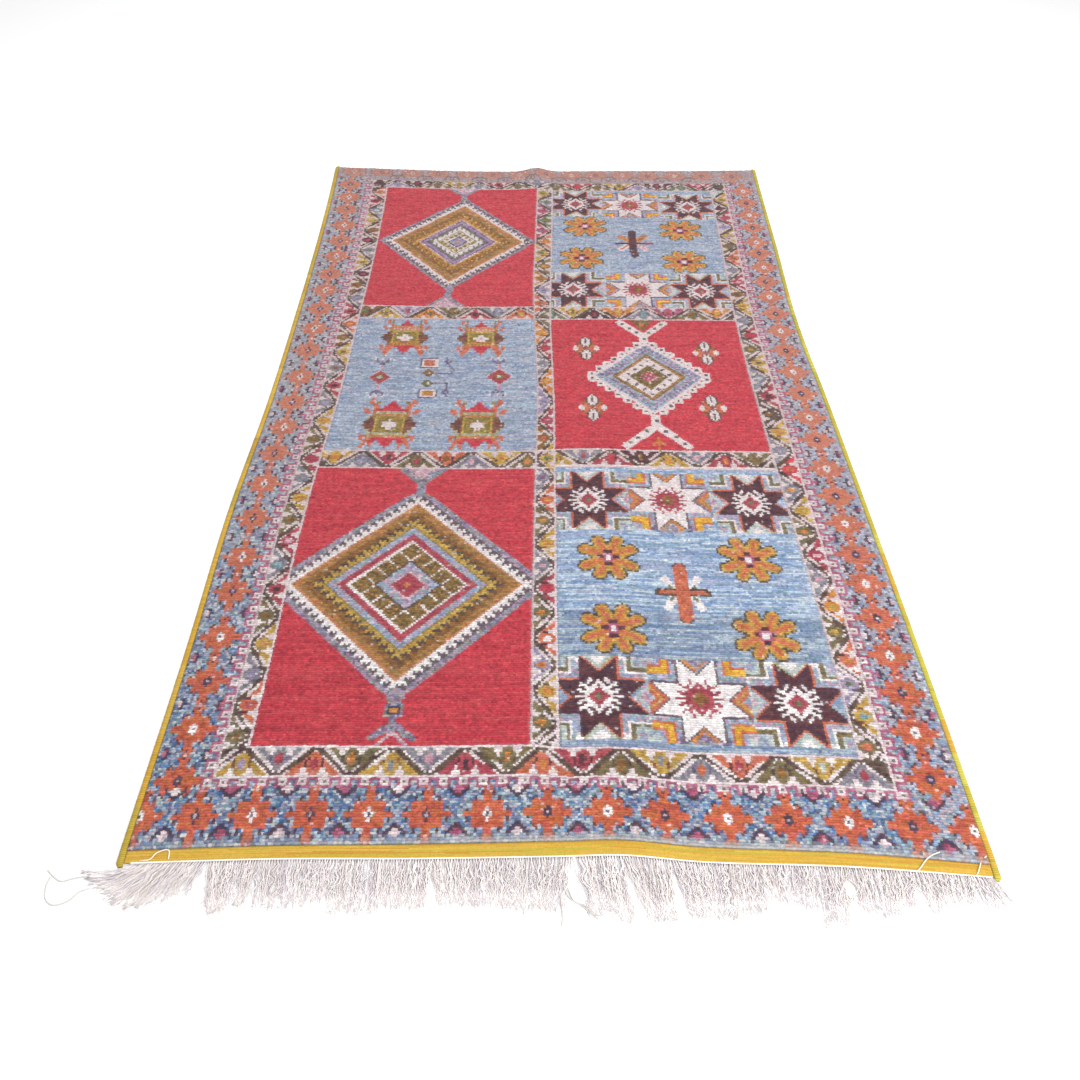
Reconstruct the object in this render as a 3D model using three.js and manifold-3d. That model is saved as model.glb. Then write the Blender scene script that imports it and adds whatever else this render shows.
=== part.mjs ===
// A hand-knotted wool rug lying flat, pile up, with its warp fringe at the near end.
// Millimetres, +Z up. X runs across the rug and Y along it, away from the fringe.
// The loom leaves every edge a little uneven, so the outline is read from short tables.
import * as THREE from "three";
import { mergeVertices } from "three/addons/utils/BufferGeometryUtils.js";
import Module from "manifold-3d";

const wasm = await Module();
wasm.setup();

// Thicknesses and widths of the woven pieces.
const pileThickness = 9; // ground weave and cut pile together
const pileShoulder = 2.5; // how far the pile falls away at its rim
const shoulderWidth = 6; // the width of that rim
const bandLength = 27; // the flat-woven band, measured along the rug
const bandThickness = 4;
const selvedgeWidth = 13; // the overcast cord along each long edge
const selvedgeThickness = 6.5;
const selvedgeNearTip = 8; // how far each cord runs past the band
const selvedgeFarTip = 14; // and past the pile at the far end
const tipTaper = 0.6; // the width left at a cord's tip
const seamGap = 0.3; // the parting between neighbouring pieces

// The long edges at distances along the rug: they draw in towards the middle.
const sideStations = [
  { along: 0, left: -757, right: 757 },
  { along: 400, left: -753, right: 750 },
  { along: 800, left: -756, right: 740 },
  { along: 1200, left: -743, right: 729 },
  { along: 1600, left: -741, right: 715 },
  { along: 2000, left: -744, right: 726 },
  { along: 2300, left: -751, right: 732 },
  { along: 2500, left: -759, right: 738 },
];

// The two ends at places across the rug: the near one bows inwards, the far one slants.
const endStations = [
  { across: -757, near: 8, far: 2476 },
  { across: -500, near: 18, far: 2468 },
  { across: -250, near: 21, far: 2466 },
  { across: 0, near: 27, far: 2478 },
  { across: 110, near: 30, far: 2484 },
  { across: 250, near: 19, far: 2492 },
  { across: 500, near: 13, far: 2503 },
  { across: 757, near: -4, far: 2520 },
];

// One low ripple stands up from the floor at the far end and dies out along the rug.
const ripple = { across: -50, halfWidth: 42, height: 13, from: 2250, to: 2480 };

// The fringe: warp ends in uneven tufts, side by side, lying on the floor.
const lockCount = 220;
const lockWidth = 2.4;
const lockHeight = 2.2;
const lockSteps = 5;
const lockTipWidth = 1.2;
const lockUnevenness = 0.1; // how much shorter some locks are, as a share
const lockWave = 2.4; // radians from one lock to the next, in the wave that shortens them
const lockBend = 0.45; // where a lock turns from straight ahead towards its tip, as a share
const rootStripDepth = 3; // the twined cord that holds the roots, along the rug
const rootStripHeight = 3;

// Each tuft: where its roots lie, where its tips lie, and how far the tips reach from the woven edge.
const tufts = [
  { roots: [-732, -664], tips: [-816, -724], reach: [34, 83] },
  { roots: [-664, -604], tips: [-724, -628], reach: [83, 56] },
  { roots: [-604, -555], tips: [-592, -562], reach: [88, 88] },
  { roots: [-555, -518], tips: [-552, -530], reach: [75, 80] },
  { roots: [-518, -425], tips: [-516, -428], reach: [84, 81] },
  { roots: [-425, -392], tips: [-424, -396], reach: [71, 74] },
  { roots: [-392, -310], tips: [-390, -312], reach: [92, 92] },
  { roots: [-310, -222], tips: [-308, -226], reach: [83, 86] },
  { roots: [-222, -95], tips: [-208, -96], reach: [82, 82] },
  { roots: [-95, -55], tips: [-90, -58], reach: [89, 96] },
  { roots: [-55, 20], tips: [-54, 3], reach: [90, 95] },
  { roots: [20, 62], tips: [46, 72], reach: [109, 96] },
  { roots: [62, 108], tips: [78, 118], reach: [102, 123] },
  { roots: [108, 190], tips: [144, 186], reach: [112, 104] },
  { roots: [190, 300], tips: [214, 294], reach: [99, 92] },
  { roots: [300, 345], tips: [306, 342], reach: [86, 82] },
  { roots: [345, 392], tips: [352, 388], reach: [60, 65] },
  { roots: [392, 435], tips: [396, 430], reach: [67, 77] },
  { roots: [435, 492], tips: [438, 480], reach: [104, 90] },
  { roots: [492, 535], tips: [504, 530], reach: [77, 75] },
  { roots: [535, 575], tips: [536, 566], reach: [83, 77] },
  { roots: [575, 608], tips: [574, 602], reach: [65, 57] },
  { roots: [608, 640], tips: [620, 640], reach: [69, 67] },
  { roots: [640, 705], tips: [646, 700], reach: [52, 48] },
  { roots: [705, 741], tips: [714, 764], reach: [59, 46] },
];

const mix = (a, b, share) => a + (b - a) * share;

function smoothStep(from, to, at) {
  const share = THREE.MathUtils.clamp((at - from) / (to - from), 0, 1);
  return share * share * (3 - 2 * share);
}

// Evenly spaced values from one number to another, both included.
function evenly(from, to, count) {
  return Array.from({ length: count + 1 }, (_, i) => mix(from, to, i / count));
}

// A smooth curve through one column of a table: a cubic between rows, with each slope taken
// from the rows on either side.
function read(table, key, column, at) {
  const last = table.length - 1;
  let i = 0;
  while (i < last - 1 && table[i + 1][key] < at) i++;
  const slope = (j) => {
    const a = table[Math.max(0, j - 1)];
    const b = table[Math.min(last, j + 1)];
    return (b[column] - a[column]) / (b[key] - a[key]);
  };
  const [low, high] = [table[i], table[i + 1]];
  const span = high[key] - low[key];
  const t = (at - low[key]) / span;
  const eased = t * t * (3 - 2 * t);
  const leaving = slope(i) * span * t * (1 - t) * (1 - t);
  const arriving = slope(i + 1) * span * t * t * (t - 1);
  return mix(low[column], high[column], eased) + leaving + arriving;
}

const leftEdge = (along) => read(sideStations, "along", "left", along);
const rightEdge = (along) => read(sideStations, "along", "right", along);
const nearEnd = (across) => read(endStations, "across", "near", across);
const farEnd = (across) => read(endStations, "across", "far", across);

function liftAt(x, y) {
  const offset = (x - ripple.across) / ripple.halfWidth;
  return ripple.height * Math.exp(-offset * offset) * smoothStep(ripple.from, ripple.to, y);
}

// The pile's grid, closer where the ripple bends it. Distances are from its left and near edges.
const pileWidth = 1488;
const pileLength = 2450;
const rippleMiddle = pileWidth / 2 + ripple.across;
const rippleReach = 70; // the close columns reach this far to each side of its crest
const plainFrom = 105; // and the next column lies here
const plainUntil = 60; // the last plain row lies this far before the ripple starts
const columns = [
  0,
  ...evenly(shoulderWidth, rippleMiddle - plainFrom, 5),
  ...evenly(rippleMiddle - rippleReach, rippleMiddle + rippleReach, 8),
  ...evenly(rippleMiddle + plainFrom, pileWidth - shoulderWidth, 6),
  pileWidth,
].map((distance) => distance / pileWidth);
const rows = [
  0,
  ...evenly(shoulderWidth, ripple.from - plainUntil, 16),
  ...evenly(ripple.from, pileLength - shoulderWidth, 8),
  pileLength,
].map((distance) => distance / pileLength);

// Where a share of the pile's width and of its length lies in plan.
function pilePoint(acrossShare, alongShare) {
  const level = mix(sideStations[0].along, sideStations.at(-1).along, alongShare);
  const inset = selvedgeWidth + seamGap;
  const x = mix(leftEdge(level) + inset, rightEdge(level) - inset, acrossShare);
  const y = mix(nearEnd(x) + bandLength + seamGap, farEnd(x), alongShare);
  return [x, y];
}

// A closed surface from rings of points: each ring is joined to the next, and both ends are capped.
// The rings run anticlockwise seen from beyond the last one.
function loft(rings) {
  const sides = rings[0].length;
  const positions = rings.flat(2);
  const index = [];
  for (let ring = 0; ring < rings.length - 1; ring++) {
    for (let side = 0; side < sides; side++) {
      const a = ring * sides + side;
      const b = ring * sides + ((side + 1) % sides);
      index.push(a, b, b + sides, a, b + sides, a + sides);
    }
  }
  const lastRing = (rings.length - 1) * sides;
  for (let side = 1; side < sides - 1; side++) {
    index.push(0, side + 1, side);
    index.push(lastRing, lastRing + side, lastRing + side + 1);
  }
  const geometry = new THREE.BufferGeometry();
  geometry.setAttribute("position", new THREE.Float32BufferAttribute(positions, 3));
  geometry.setIndex(index);
  geometry.computeVertexNormals();
  return geometry;
}

// A closed sheet from two grids of the same size: its top, its underside and a wall round the rim.
function slab(top, underside) {
  const [rowCount, columnCount] = [top.length, top[0].length];
  const layer = rowCount * columnCount;
  const at = (row, column) => row * columnCount + column;
  const index = [];
  const quad = (a, b, c, d) => index.push(a, b, c, a, c, d);
  for (let r = 0; r < rowCount - 1; r++) {
    for (let c = 0; c < columnCount - 1; c++) {
      const corners = [at(r, c), at(r, c + 1), at(r + 1, c + 1), at(r + 1, c)];
      quad(...corners);
      quad(...corners.map((corner) => corner + layer).reverse());
    }
  }
  const rim = [];
  for (let c = 0; c < columnCount - 1; c++) rim.push(at(0, c));
  for (let r = 0; r < rowCount - 1; r++) rim.push(at(r, columnCount - 1));
  for (let c = columnCount - 1; c > 0; c--) rim.push(at(rowCount - 1, c));
  for (let r = rowCount - 1; r > 0; r--) rim.push(at(r, 0));
  rim.forEach((here, i) => {
    const next = rim[(i + 1) % rim.length];
    quad(here + layer, next + layer, next, here);
  });
  const geometry = new THREE.BufferGeometry();
  const positions = [...top, ...underside].flat(2);
  geometry.setAttribute("position", new THREE.Float32BufferAttribute(positions, 3));
  geometry.setIndex(index);
  geometry.computeVertexNormals();
  return geometry;
}

// The knotted field: one cloth, with a rounded rim and the ripple at its far end.
function knottedPile() {
  const onRim = (share) => share === 0 || share === 1;
  const grid = (heightOf) =>
    rows.map((alongShare) =>
      columns.map((acrossShare) => {
        const [x, y] = pilePoint(acrossShare, alongShare);
        return [x, y, liftAt(x, y) + heightOf(acrossShare, alongShare)];
      }),
    );
  const top = grid((acrossShare, alongShare) =>
    onRim(acrossShare) || onRim(alongShare) ? pileThickness - pileShoulder : pileThickness,
  );
  return slab(top, grid(() => 0));
}

// The flat-woven band between the pile and the fringe, without pile.
function flatweaveBand() {
  const grid = (height) =>
    [bandLength, 0].reverse().map((distance) =>
      columns.map((acrossShare) => {
        const [x] = pilePoint(acrossShare, 0);
        return [x, nearEnd(x) + distance, height];
      }),
    );
  return slab(grid(bandThickness), grid(0));
}

// One overcast cord along a long edge, flat below and rounded above.
// side is -1 for the left edge and 1 for the right one.
function selvedge(side) {
  const section = [
    { across: 0.12, up: 0 },
    { across: 0.88, up: 0 },
    { across: 1, up: 0.32 },
    { across: 0.96, up: 0.7 },
    { across: 0.72, up: 1 },
    { across: 0.28, up: 1 },
    { across: 0.04, up: 0.7 },
    { across: 0, up: 0.32 },
  ];
  const edgeShare = side < 0 ? 0 : 1;
  const inner = rows.map((alongShare) => pilePoint(edgeShare, alongShare));
  const [nearX] = inner[0];
  const [farX, farY] = inner.at(-1);
  const stations = [
    { x: nearX, y: nearEnd(nearX) - selvedgeNearTip, scale: tipTaper },
    { x: nearX, y: nearEnd(nearX), scale: 1 },
    ...inner.map(([x, y]) => ({ x, y, scale: 1 })),
    { x: farX, y: farY + selvedgeFarTip, scale: tipTaper },
  ];
  const rings = stations.map(({ x, y, scale }) =>
    section.map(({ across, up }) => [
      x + side * (seamGap + across * selvedgeWidth * scale),
      y,
      up * selvedgeThickness,
    ]),
  );
  // Seen from beyond the far end, the left cord's section runs the other way round.
  return loft(side < 0 ? rings : rings.map((ring) => ring.reverse()));
}

function toSolid(geometry) {
  const bare = new THREE.BufferGeometry();
  bare.setAttribute("position", geometry.getAttribute("position").clone());
  bare.setIndex(geometry.getIndex().clone());
  const merged = mergeVertices(bare, 1e-4);
  return new wasm.Manifold(
    new wasm.Mesh({
      numProp: 3,
      vertProperties: new Float32Array(merged.attributes.position.array),
      triVerts: new Uint32Array(merged.index.array),
    }),
  );
}

function toGeometry(solid) {
  const mesh = solid.getMesh();
  const geometry = new THREE.BufferGeometry();
  geometry.setAttribute("position", new THREE.Float32BufferAttribute(mesh.vertProperties, 3));
  geometry.setIndex(new THREE.BufferAttribute(new Uint32Array(mesh.triVerts), 1));
  geometry.computeVertexNormals();
  return geometry;
}

// One lock of warp ends: three-sided, flat on the floor, bending from its root towards its tip.
function lock(root, tip) {
  const bend = [root[0], mix(root[1], tip[1], lockBend)];
  const rings = evenly(0, 1, lockSteps).map((t) => {
    const stay = (1 - t) * (1 - t);
    const swing = 2 * t * (1 - t);
    const x = stay * root[0] + swing * bend[0] + t * t * tip[0];
    const y = stay * root[1] + swing * bend[1] + t * t * tip[1];
    const dx = mix(bend[0] - root[0], tip[0] - bend[0], t);
    const dy = mix(bend[1] - root[1], tip[1] - bend[1], t);
    const half = mix(lockWidth, lockTipWidth, t * t) / 2 / Math.hypot(dx, dy);
    const [sideX, sideY] = [-dy * half, dx * half];
    return [
      [x - sideX, y - sideY, 0],
      [x + sideX, y + sideY, 0],
      [x, y, mix(lockHeight, lockTipWidth, t * t)],
    ];
  });
  return loft(rings);
}

// The height of a chain of straight pieces through points, at one place across.
function onChain(points, x) {
  const next = points.findIndex((point, i) => i > 0 && point[0] >= x);
  const [from, to] = [points[next - 1], points[next]];
  return mix(from[1], to[1], (x - from[0]) / (to[0] - from[0]));
}

// The warp ends, with their roots in the twined cord along the band's edge.
function warpFringe() {
  const cordLine = columns.map((acrossShare) => {
    const [x] = pilePoint(acrossShare, 0);
    return [x, nearEnd(x) - seamGap - rootStripDepth / 2];
  });
  const cordRings = cordLine.map(([x, y]) => [
    [x, y + rootStripDepth / 2, 0],
    [x, y + rootStripDepth / 2, rootStripHeight],
    [x, y - rootStripDepth / 2, rootStripHeight],
    [x, y - rootStripDepth / 2, 0],
  ]);
  const firstRoot = tufts[0].roots[0];
  const lastRoot = tufts.at(-1).roots[1];
  const locks = evenly(firstRoot, lastRoot, lockCount - 1).map((x, i) => {
    const tuft = tufts.find(({ roots }) => x <= roots[1] + 1e-6);
    const share = (x - tuft.roots[0]) / (tuft.roots[1] - tuft.roots[0]);
    const root = [x, onChain(cordLine, x)];
    const shorter = 1 - (lockUnevenness / 2) * (1 + Math.sin(i * lockWave));
    const tip = [mix(...tuft.tips, share), root[1] - mix(...tuft.reach, share) * shorter];
    return toSolid(lock(root, tip));
  });
  return toGeometry(wasm.Manifold.union([toSolid(loft(cordRings)), ...locks]));
}

// Wool and cotton, in the rug's main tones.
const pileWool = new THREE.MeshStandardMaterial({ color: 0xb4586a, roughness: 0.95, metalness: 0 });
const goldWool = new THREE.MeshStandardMaterial({ color: 0xd9ae3a, roughness: 0.9, metalness: 0 });
const warpCotton = new THREE.MeshStandardMaterial({ color: 0xe0dbd8, roughness: 0.9, metalness: 0 });

const pieces = [
  { name: "knotted_pile", geometry: knottedPile(), material: pileWool },
  { name: "flatweave_band", geometry: flatweaveBand(), material: goldWool },
  { name: "selvedge_left", geometry: selvedge(-1), material: goldWool },
  { name: "selvedge_right", geometry: selvedge(1), material: goldWool },
  { name: "warp_fringe", geometry: warpFringe(), material: warpCotton },
];

const rug = new THREE.Group();
for (const { name, geometry, material } of pieces) {
  const mesh = new THREE.Mesh(geometry, material);
  mesh.name = name;
  rug.add(mesh);
}

// The origin lies on the floor, under the middle of everything that the rug covers.
const extent = new THREE.Box3().setFromObject(rug);
const middle = extent.getCenter(new THREE.Vector3());
rug.position.set(-middle.x, -middle.y, -extent.min.z);

export default rug;
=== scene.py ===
# %% [markdown]
# # A hand-knotted rug, built knot by knot
# This is a lesson in building a pile rug in Blender. On the real object some 140,000 knots of wool
# are tied on a cotton warp, a flat gold band closes the near end, gold wool is wound round the outer
# warps as an edge cord, and the warp ends hang out as a fringe. One could lay an image on a plane, but
# then the rug has no pile. Here every knot is its own piece of surface, coloured by a chart that is
# drawn with formulas, so the pattern, the rows and the pile stay true from any side.

import bpy
import numpy as np
from mathutils import Matrix, Vector


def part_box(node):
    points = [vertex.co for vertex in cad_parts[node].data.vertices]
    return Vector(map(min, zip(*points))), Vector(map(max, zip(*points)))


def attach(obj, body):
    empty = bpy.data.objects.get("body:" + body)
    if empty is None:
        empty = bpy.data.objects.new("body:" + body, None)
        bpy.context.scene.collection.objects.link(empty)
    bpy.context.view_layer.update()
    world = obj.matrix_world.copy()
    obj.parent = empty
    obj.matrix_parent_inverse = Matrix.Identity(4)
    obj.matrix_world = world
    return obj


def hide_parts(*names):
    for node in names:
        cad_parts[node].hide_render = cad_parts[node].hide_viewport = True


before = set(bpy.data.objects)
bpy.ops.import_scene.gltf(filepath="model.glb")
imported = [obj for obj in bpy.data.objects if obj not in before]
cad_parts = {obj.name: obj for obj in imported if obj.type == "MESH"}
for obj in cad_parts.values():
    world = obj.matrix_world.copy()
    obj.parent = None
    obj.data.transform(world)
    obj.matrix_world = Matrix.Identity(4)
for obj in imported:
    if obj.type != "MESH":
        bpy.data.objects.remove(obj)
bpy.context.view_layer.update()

MM = 0.001
rng = np.random.default_rng(7)

# %% [markdown]
# ## Where the rug lies
# The outline of a handmade rug is never a true rectangle. Two short tables hold where the long edges
# and the ends run, the same as in the solid parts, and smooth curves are read through them. The solid
# parts sit around their own middle, so the tables' frame is moved there by comparing one box.

# %% Outline tables, in millimetres
side_stations = np.array([
    # along, left edge, right edge
    (0, -757, 757), (400, -753, 750), (800, -756, 740), (1200, -743, 729),
    (1600, -741, 715), (2000, -744, 726), (2300, -751, 732), (2500, -759, 738),
]) * MM
end_stations = np.array([
    # across, near end, far end
    (-757, 8, 2476), (-500, 18, 2468), (-250, 21, 2466), (0, 27, 2478),
    (110, 30, 2484), (250, 19, 2492), (500, 13, 2503), (757, -4, 2520),
]) * MM
RUG_WIDTH, RUG_LENGTH = 1.50, 2.50
BAND_LENGTH, BAND_THICK = 27 * MM, 4 * MM
PILE_THICK, SHOULDER_FALL, SHOULDER_WIDE = 9 * MM, 2.5 * MM, 6 * MM
CORD_WIDE, CORD_THICK, CORD_NEAR_TIP, CORD_FAR_TIP = 13 * MM, 6.5 * MM, 8 * MM, 14 * MM
SEAM = 0.3 * MM
RIPPLE_ACROSS, RIPPLE_WIDE, RIPPLE_HIGH, RIPPLE_FROM, RIPPLE_TO = -0.050, 0.042, 0.013, 2.25, 2.48


# %% Reading the outline
def soft_step(value):
    """0 below 0, 1 above 1, and between them 3v² − 2v³."""
    v = np.clip(value, 0, 1)
    return v * v * (3 - 2 * v)


def read(table, which, at):
    """A smooth curve through one column of a table: a cubic between rows, whose slope at each row is
    taken from the rows on either side."""
    key, value = table[:, 0], table[:, which]
    last = len(key) - 1
    after, before = np.minimum(np.arange(last + 1) + 1, last), np.maximum(np.arange(last + 1) - 1, 0)
    slope = (value[after] - value[before]) / (key[after] - key[before])
    i = np.clip(np.searchsorted(key, at) - 1, 0, last - 1)
    span = key[i + 1] - key[i]
    t = (at - key[i]) / span
    turned = slope[i] * span * t * (1 - t) ** 2 + slope[i + 1] * span * t * t * (t - 1)
    return value[i] + (value[i + 1] - value[i]) * t * t * (3 - 2 * t) + turned


def near_end(x):
    return read(end_stations, 1, x)


def plan(across_share, along_share):
    """Where a share of the pile's width and of its length lies on the floor: straight between the
    two long edges, then straight between the band and the far end."""
    level = RUG_LENGTH * along_share
    left = read(side_stations, 1, level) + CORD_WIDE + SEAM
    right = read(side_stations, 2, level) - CORD_WIDE - SEAM
    x = left + (right - left) * across_share
    near = near_end(x) + BAND_LENGTH + SEAM
    return x, near + (read(end_stations, 2, x) - near) * along_share


def lift(x, y):
    """How far the ripple at the far end holds the rug off the floor: a bell across it that grows
    along the rug."""
    along = soft_step((y - RIPPLE_FROM) / (RIPPLE_TO - RIPPLE_FROM))
    return RIPPLE_HIGH * np.exp(-(((x - RIPPLE_ACROSS) / RIPPLE_WIDE) ** 2)) * along


rim = np.linspace(0, 1, 400)
own_x, own_y = plan(np.concatenate([0 * rim, 0 * rim + 1, rim, rim]),
                    np.concatenate([rim, rim, 0 * rim, 0 * rim + 1]))
pile_low, pile_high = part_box("knotted_pile")
shift_x = (pile_low.x + pile_high.x - own_x.min() - own_x.max()) / 2
shift_y = (pile_low.y + pile_high.y - own_y.min() - own_y.max()) / 2
print(f"tables move by {shift_x * 1000:.1f} and {shift_y * 1000:.1f} mm into the frame")


def placed(x, y, z):
    """Points of the tables' frame as an array of points in the frame of the solid parts."""
    x, y, z = np.broadcast_arrays(x, y, z)
    return np.stack([x + shift_x, y + shift_y, z], -1)


# %% [markdown]
# ## The camera
# The rug is seen from its fringed end, from about a person's height. The four corners and the even
# spacing of the border flowers give the lens and the place. The camera comes first, because every
# later judgement of size and colour is made through it.

# %% Camera
PICTURE, FOCAL_PIXELS, SENSOR = 1080, 880, 36
PITCH, ROLL, YAW = 0.8566, 0.0336, 0.0254
CAMERA_AT = (-0.0695, -0.5556, 1.5083)

ahead = Vector((np.sin(YAW) * np.cos(PITCH), np.cos(YAW) * np.cos(PITCH), -np.sin(PITCH)))
level_right = Vector((np.cos(YAW), -np.sin(YAW), 0))
level_up = level_right.cross(ahead)
right = level_right * np.cos(ROLL) + level_up * np.sin(ROLL)
up = level_up * np.cos(ROLL) - level_right * np.sin(ROLL)
camera_data = bpy.data.cameras.new("camera")
camera_data.sensor_width = SENSOR
camera_data.lens = SENSOR * FOCAL_PIXELS / PICTURE
camera = bpy.data.objects.new("camera", camera_data)
turn = Matrix((right, up, -ahead)).transposed().to_4x4()
camera.matrix_world = Matrix.Translation(placed(*CAMERA_AT)) @ turn
bpy.context.scene.collection.objects.link(camera)
bpy.context.scene.camera = camera
print(f"lens {camera_data.lens:.2f} mm, {np.degrees(PITCH):.0f} degrees below level")

# %% [markdown]
# ## Floor and light
# The photo is a studio cut-out: white all round, soft light, hardly a shadow. A large pale floor and an
# even white sky do most of it. Two broad lamps, one at the right of the near end and one over the far
# half, add the direction that lets rows of knots show.

# %% Floor
def set_socket(node, **values):
    """Sets a shader's own sockets by name, with underscores for blanks."""
    for name, value in values.items():
        node.inputs[name.replace("_", " ")].default_value = value


def bare_material(name):
    """A new material with one Principled shader. Gives the material, its nodes, links and shader."""
    material = bpy.data.materials.new(name)
    material.use_nodes = True
    tree = material.node_tree
    return material, tree.nodes, tree.links, tree.nodes["Principled BSDF"]


FLOOR_SIDE, FLOOR_COLOUR, SKY_STRENGTH = 30, (0.93, 0.93, 0.93, 1), 0.75
floor_mesh = bpy.data.meshes.new("floor")
half = FLOOR_SIDE / 2
floor_mesh.from_pydata([(-half, -half, 0), (half, -half, 0), (half, half, 0), (-half, half, 0)], [],
                       [(0, 1, 2, 3)])
floor = bpy.data.objects.new("floor", floor_mesh)
bpy.context.scene.collection.objects.link(floor)
floor_finish, _, _, shader = bare_material("pale floor")
set_socket(shader, Base_Color=FLOOR_COLOUR, Roughness=0.9, Specular_IOR_Level=0.1)
floor_mesh.materials.append(floor_finish)

# %% Light
world = bpy.data.worlds.new("studio")
world.use_nodes = True
world.node_tree.nodes["Background"].inputs["Color"].default_value = (1, 1, 1, 1)
world.node_tree.nodes["Background"].inputs["Strength"].default_value = SKY_STRENGTH
bpy.context.scene.world = world


def lamp(name, at, aim, side, power):
    """A square lamp at a point, facing another one."""
    data = bpy.data.lights.new(name, "AREA")
    data.size = side
    data.energy = power
    made = bpy.data.objects.new(name, data)
    made.location = at
    made.rotation_euler = (Vector(aim) - Vector(at)).to_track_quat("-Z", "Y").to_euler()
    bpy.context.scene.collection.objects.link(made)


lamp("key lamp", at=(2.2, -2.4, 2.9), aim=(0.2, 0, 0), side=2.4, power=134)
lamp("top lamp", at=(0.2, 1.9, 3.2), aim=(0, 0.5, 0), side=2.4, power=64)
bpy.context.scene.view_settings.view_transform = "Standard"

# %% [markdown]
# ## The knot grid and its drift
# A knotted rug is a chart come true: every knot is one dot of colour, tied row after row on the same
# warps. So the pattern is painted on a grid of knots, by number of dye, and the geometry comes later.
# On the loom the rows and warps do not stay even, and the finished rug shows it: the bands wander by
# a few knots. The chart keeps them straight, and a short table says where its main lines really lie.

# %% The chart
COLUMNS, ROWS = 291, 487
knot_column, knot_row = np.arange(COLUMNS), np.arange(ROWS)[:, None]
column, row = knot_column + 0.5, knot_row + 0.5
chart = np.zeros((ROWS, COLUMNS), int)

# Main lines of the chart: first column or row of each part
BORDER, OUTER_LEFT, FIELD_LEFT, CENTRE_LEFT = 19, 23, 34, 136
FIELD_RIGHT, LAST_RIGHT, OUTER_RIGHT, BORDER_RIGHT = 147, 257, 267, 272
EDGING_NEAR, NEAR_LINE, FIRST_NEAR, FIRST_FAR, SECOND_NEAR = 20, 24, 37, 185, 198
SECOND_FAR, THIRD_NEAR, THIRD_FAR, FAR_BORDER = 308, 321, 460, 470
MAIN_ROWS = [NEAR_LINE, FIRST_NEAR, FIRST_FAR, SECOND_NEAR, SECOND_FAR, THIRD_NEAR, THIRD_FAR, FAR_BORDER]


# %% The drift
fixed_columns = [0, OUTER_LEFT, FIELD_LEFT, CENTRE_LEFT, FIELD_RIGHT, LAST_RIGHT, OUTER_RIGHT, COLUMNS]
drift_of_columns = np.array([
    # row, outer left line, left field, its far side, right field, its far side, outer right line
    (40, 22.0, 32.4, 134.6, 145.6, 255.5, 265.5),
    (100, 22.0, 32.4, 135.3, 146.0, 255.9, 265.6),
    (150, 22.3, 33.0, 136.9, 147.3, 255.0, 265.5),
    (200, 22.6, 33.5, 137.4, 147.3, 254.3, 265.4),
    (250, 23.6, 34.6, 138.0, 147.3, 254.2, 266.0),
    (300, 24.3, 35.2, 137.2, 147.2, 255.8, 266.6),
    (350, 24.8, 36.2, 135.9, 147.5, 256.2, 266.9),
    (400, 25.0, 36.4, 136.6, 148.1, 256.7, 267.2),
    (450, 25.0, 36.2, 137.8, 149.0, 257.5, 267.7),
])
fixed_rows = [0, EDGING_NEAR, *MAIN_ROWS, ROWS]
right_hand_rows = [0, 19, 22.8, 35.5, 185.5, 199, 307.5, 320.2, 457, 467.7, ROWS]
RIGHT_HAND_FROM, RIGHT_HAND_TO, SEATING_STEPS = 134, 152, 4


def drifted(c, r):
    """Where a place of the chart lies in the finished rug, in knots: rows slide to the right hand's
    table across the centre band, and columns are read between the drifted lines."""
    c, r = np.broadcast_arrays(np.asarray(c, float), np.asarray(r, float))
    share = soft_step((c - RIGHT_HAND_FROM) / (RIGHT_HAND_TO - RIGHT_HAND_FROM))
    real_row = r + share * (np.interp(r, fixed_rows, right_hand_rows) - r)
    at_rows, *tracks = drift_of_columns.T
    lines = [np.interp(real_row, at_rows, track) for track in tracks]
    lines = [np.zeros_like(c), *lines, np.full_like(c, COLUMNS)]
    real_column = np.zeros_like(c)
    for k in range(len(fixed_columns) - 1):
        low, high = fixed_columns[k], fixed_columns[k + 1]
        part = lines[k] + (c - low) / (high - low) * (lines[k + 1] - lines[k])
        real_column = np.where((c >= low) & (c <= high), part, real_column)
    return real_column, real_row


def seat(c, r):
    """The chart's place of something that lies at c, r in the finished rug: drifted() run backwards.
    Each step adds what the guess still misses."""
    guess = np.array([c, r], float)
    for _ in range(SEATING_STEPS):
        guess += np.array([c, r]) - np.array(drifted(*guess))
    return guess


# %% [markdown]
# ## Dyes
# Hand-dyed, hand-spun wool is never one colour. Each dye here is a handful of strand colours and the
# length of a run, in knots, before the weaver's yarn changes shade. Short runs speckle, long runs
# streak along the row, which is just how the blue borders and the red fields differ on the real rug.

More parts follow.
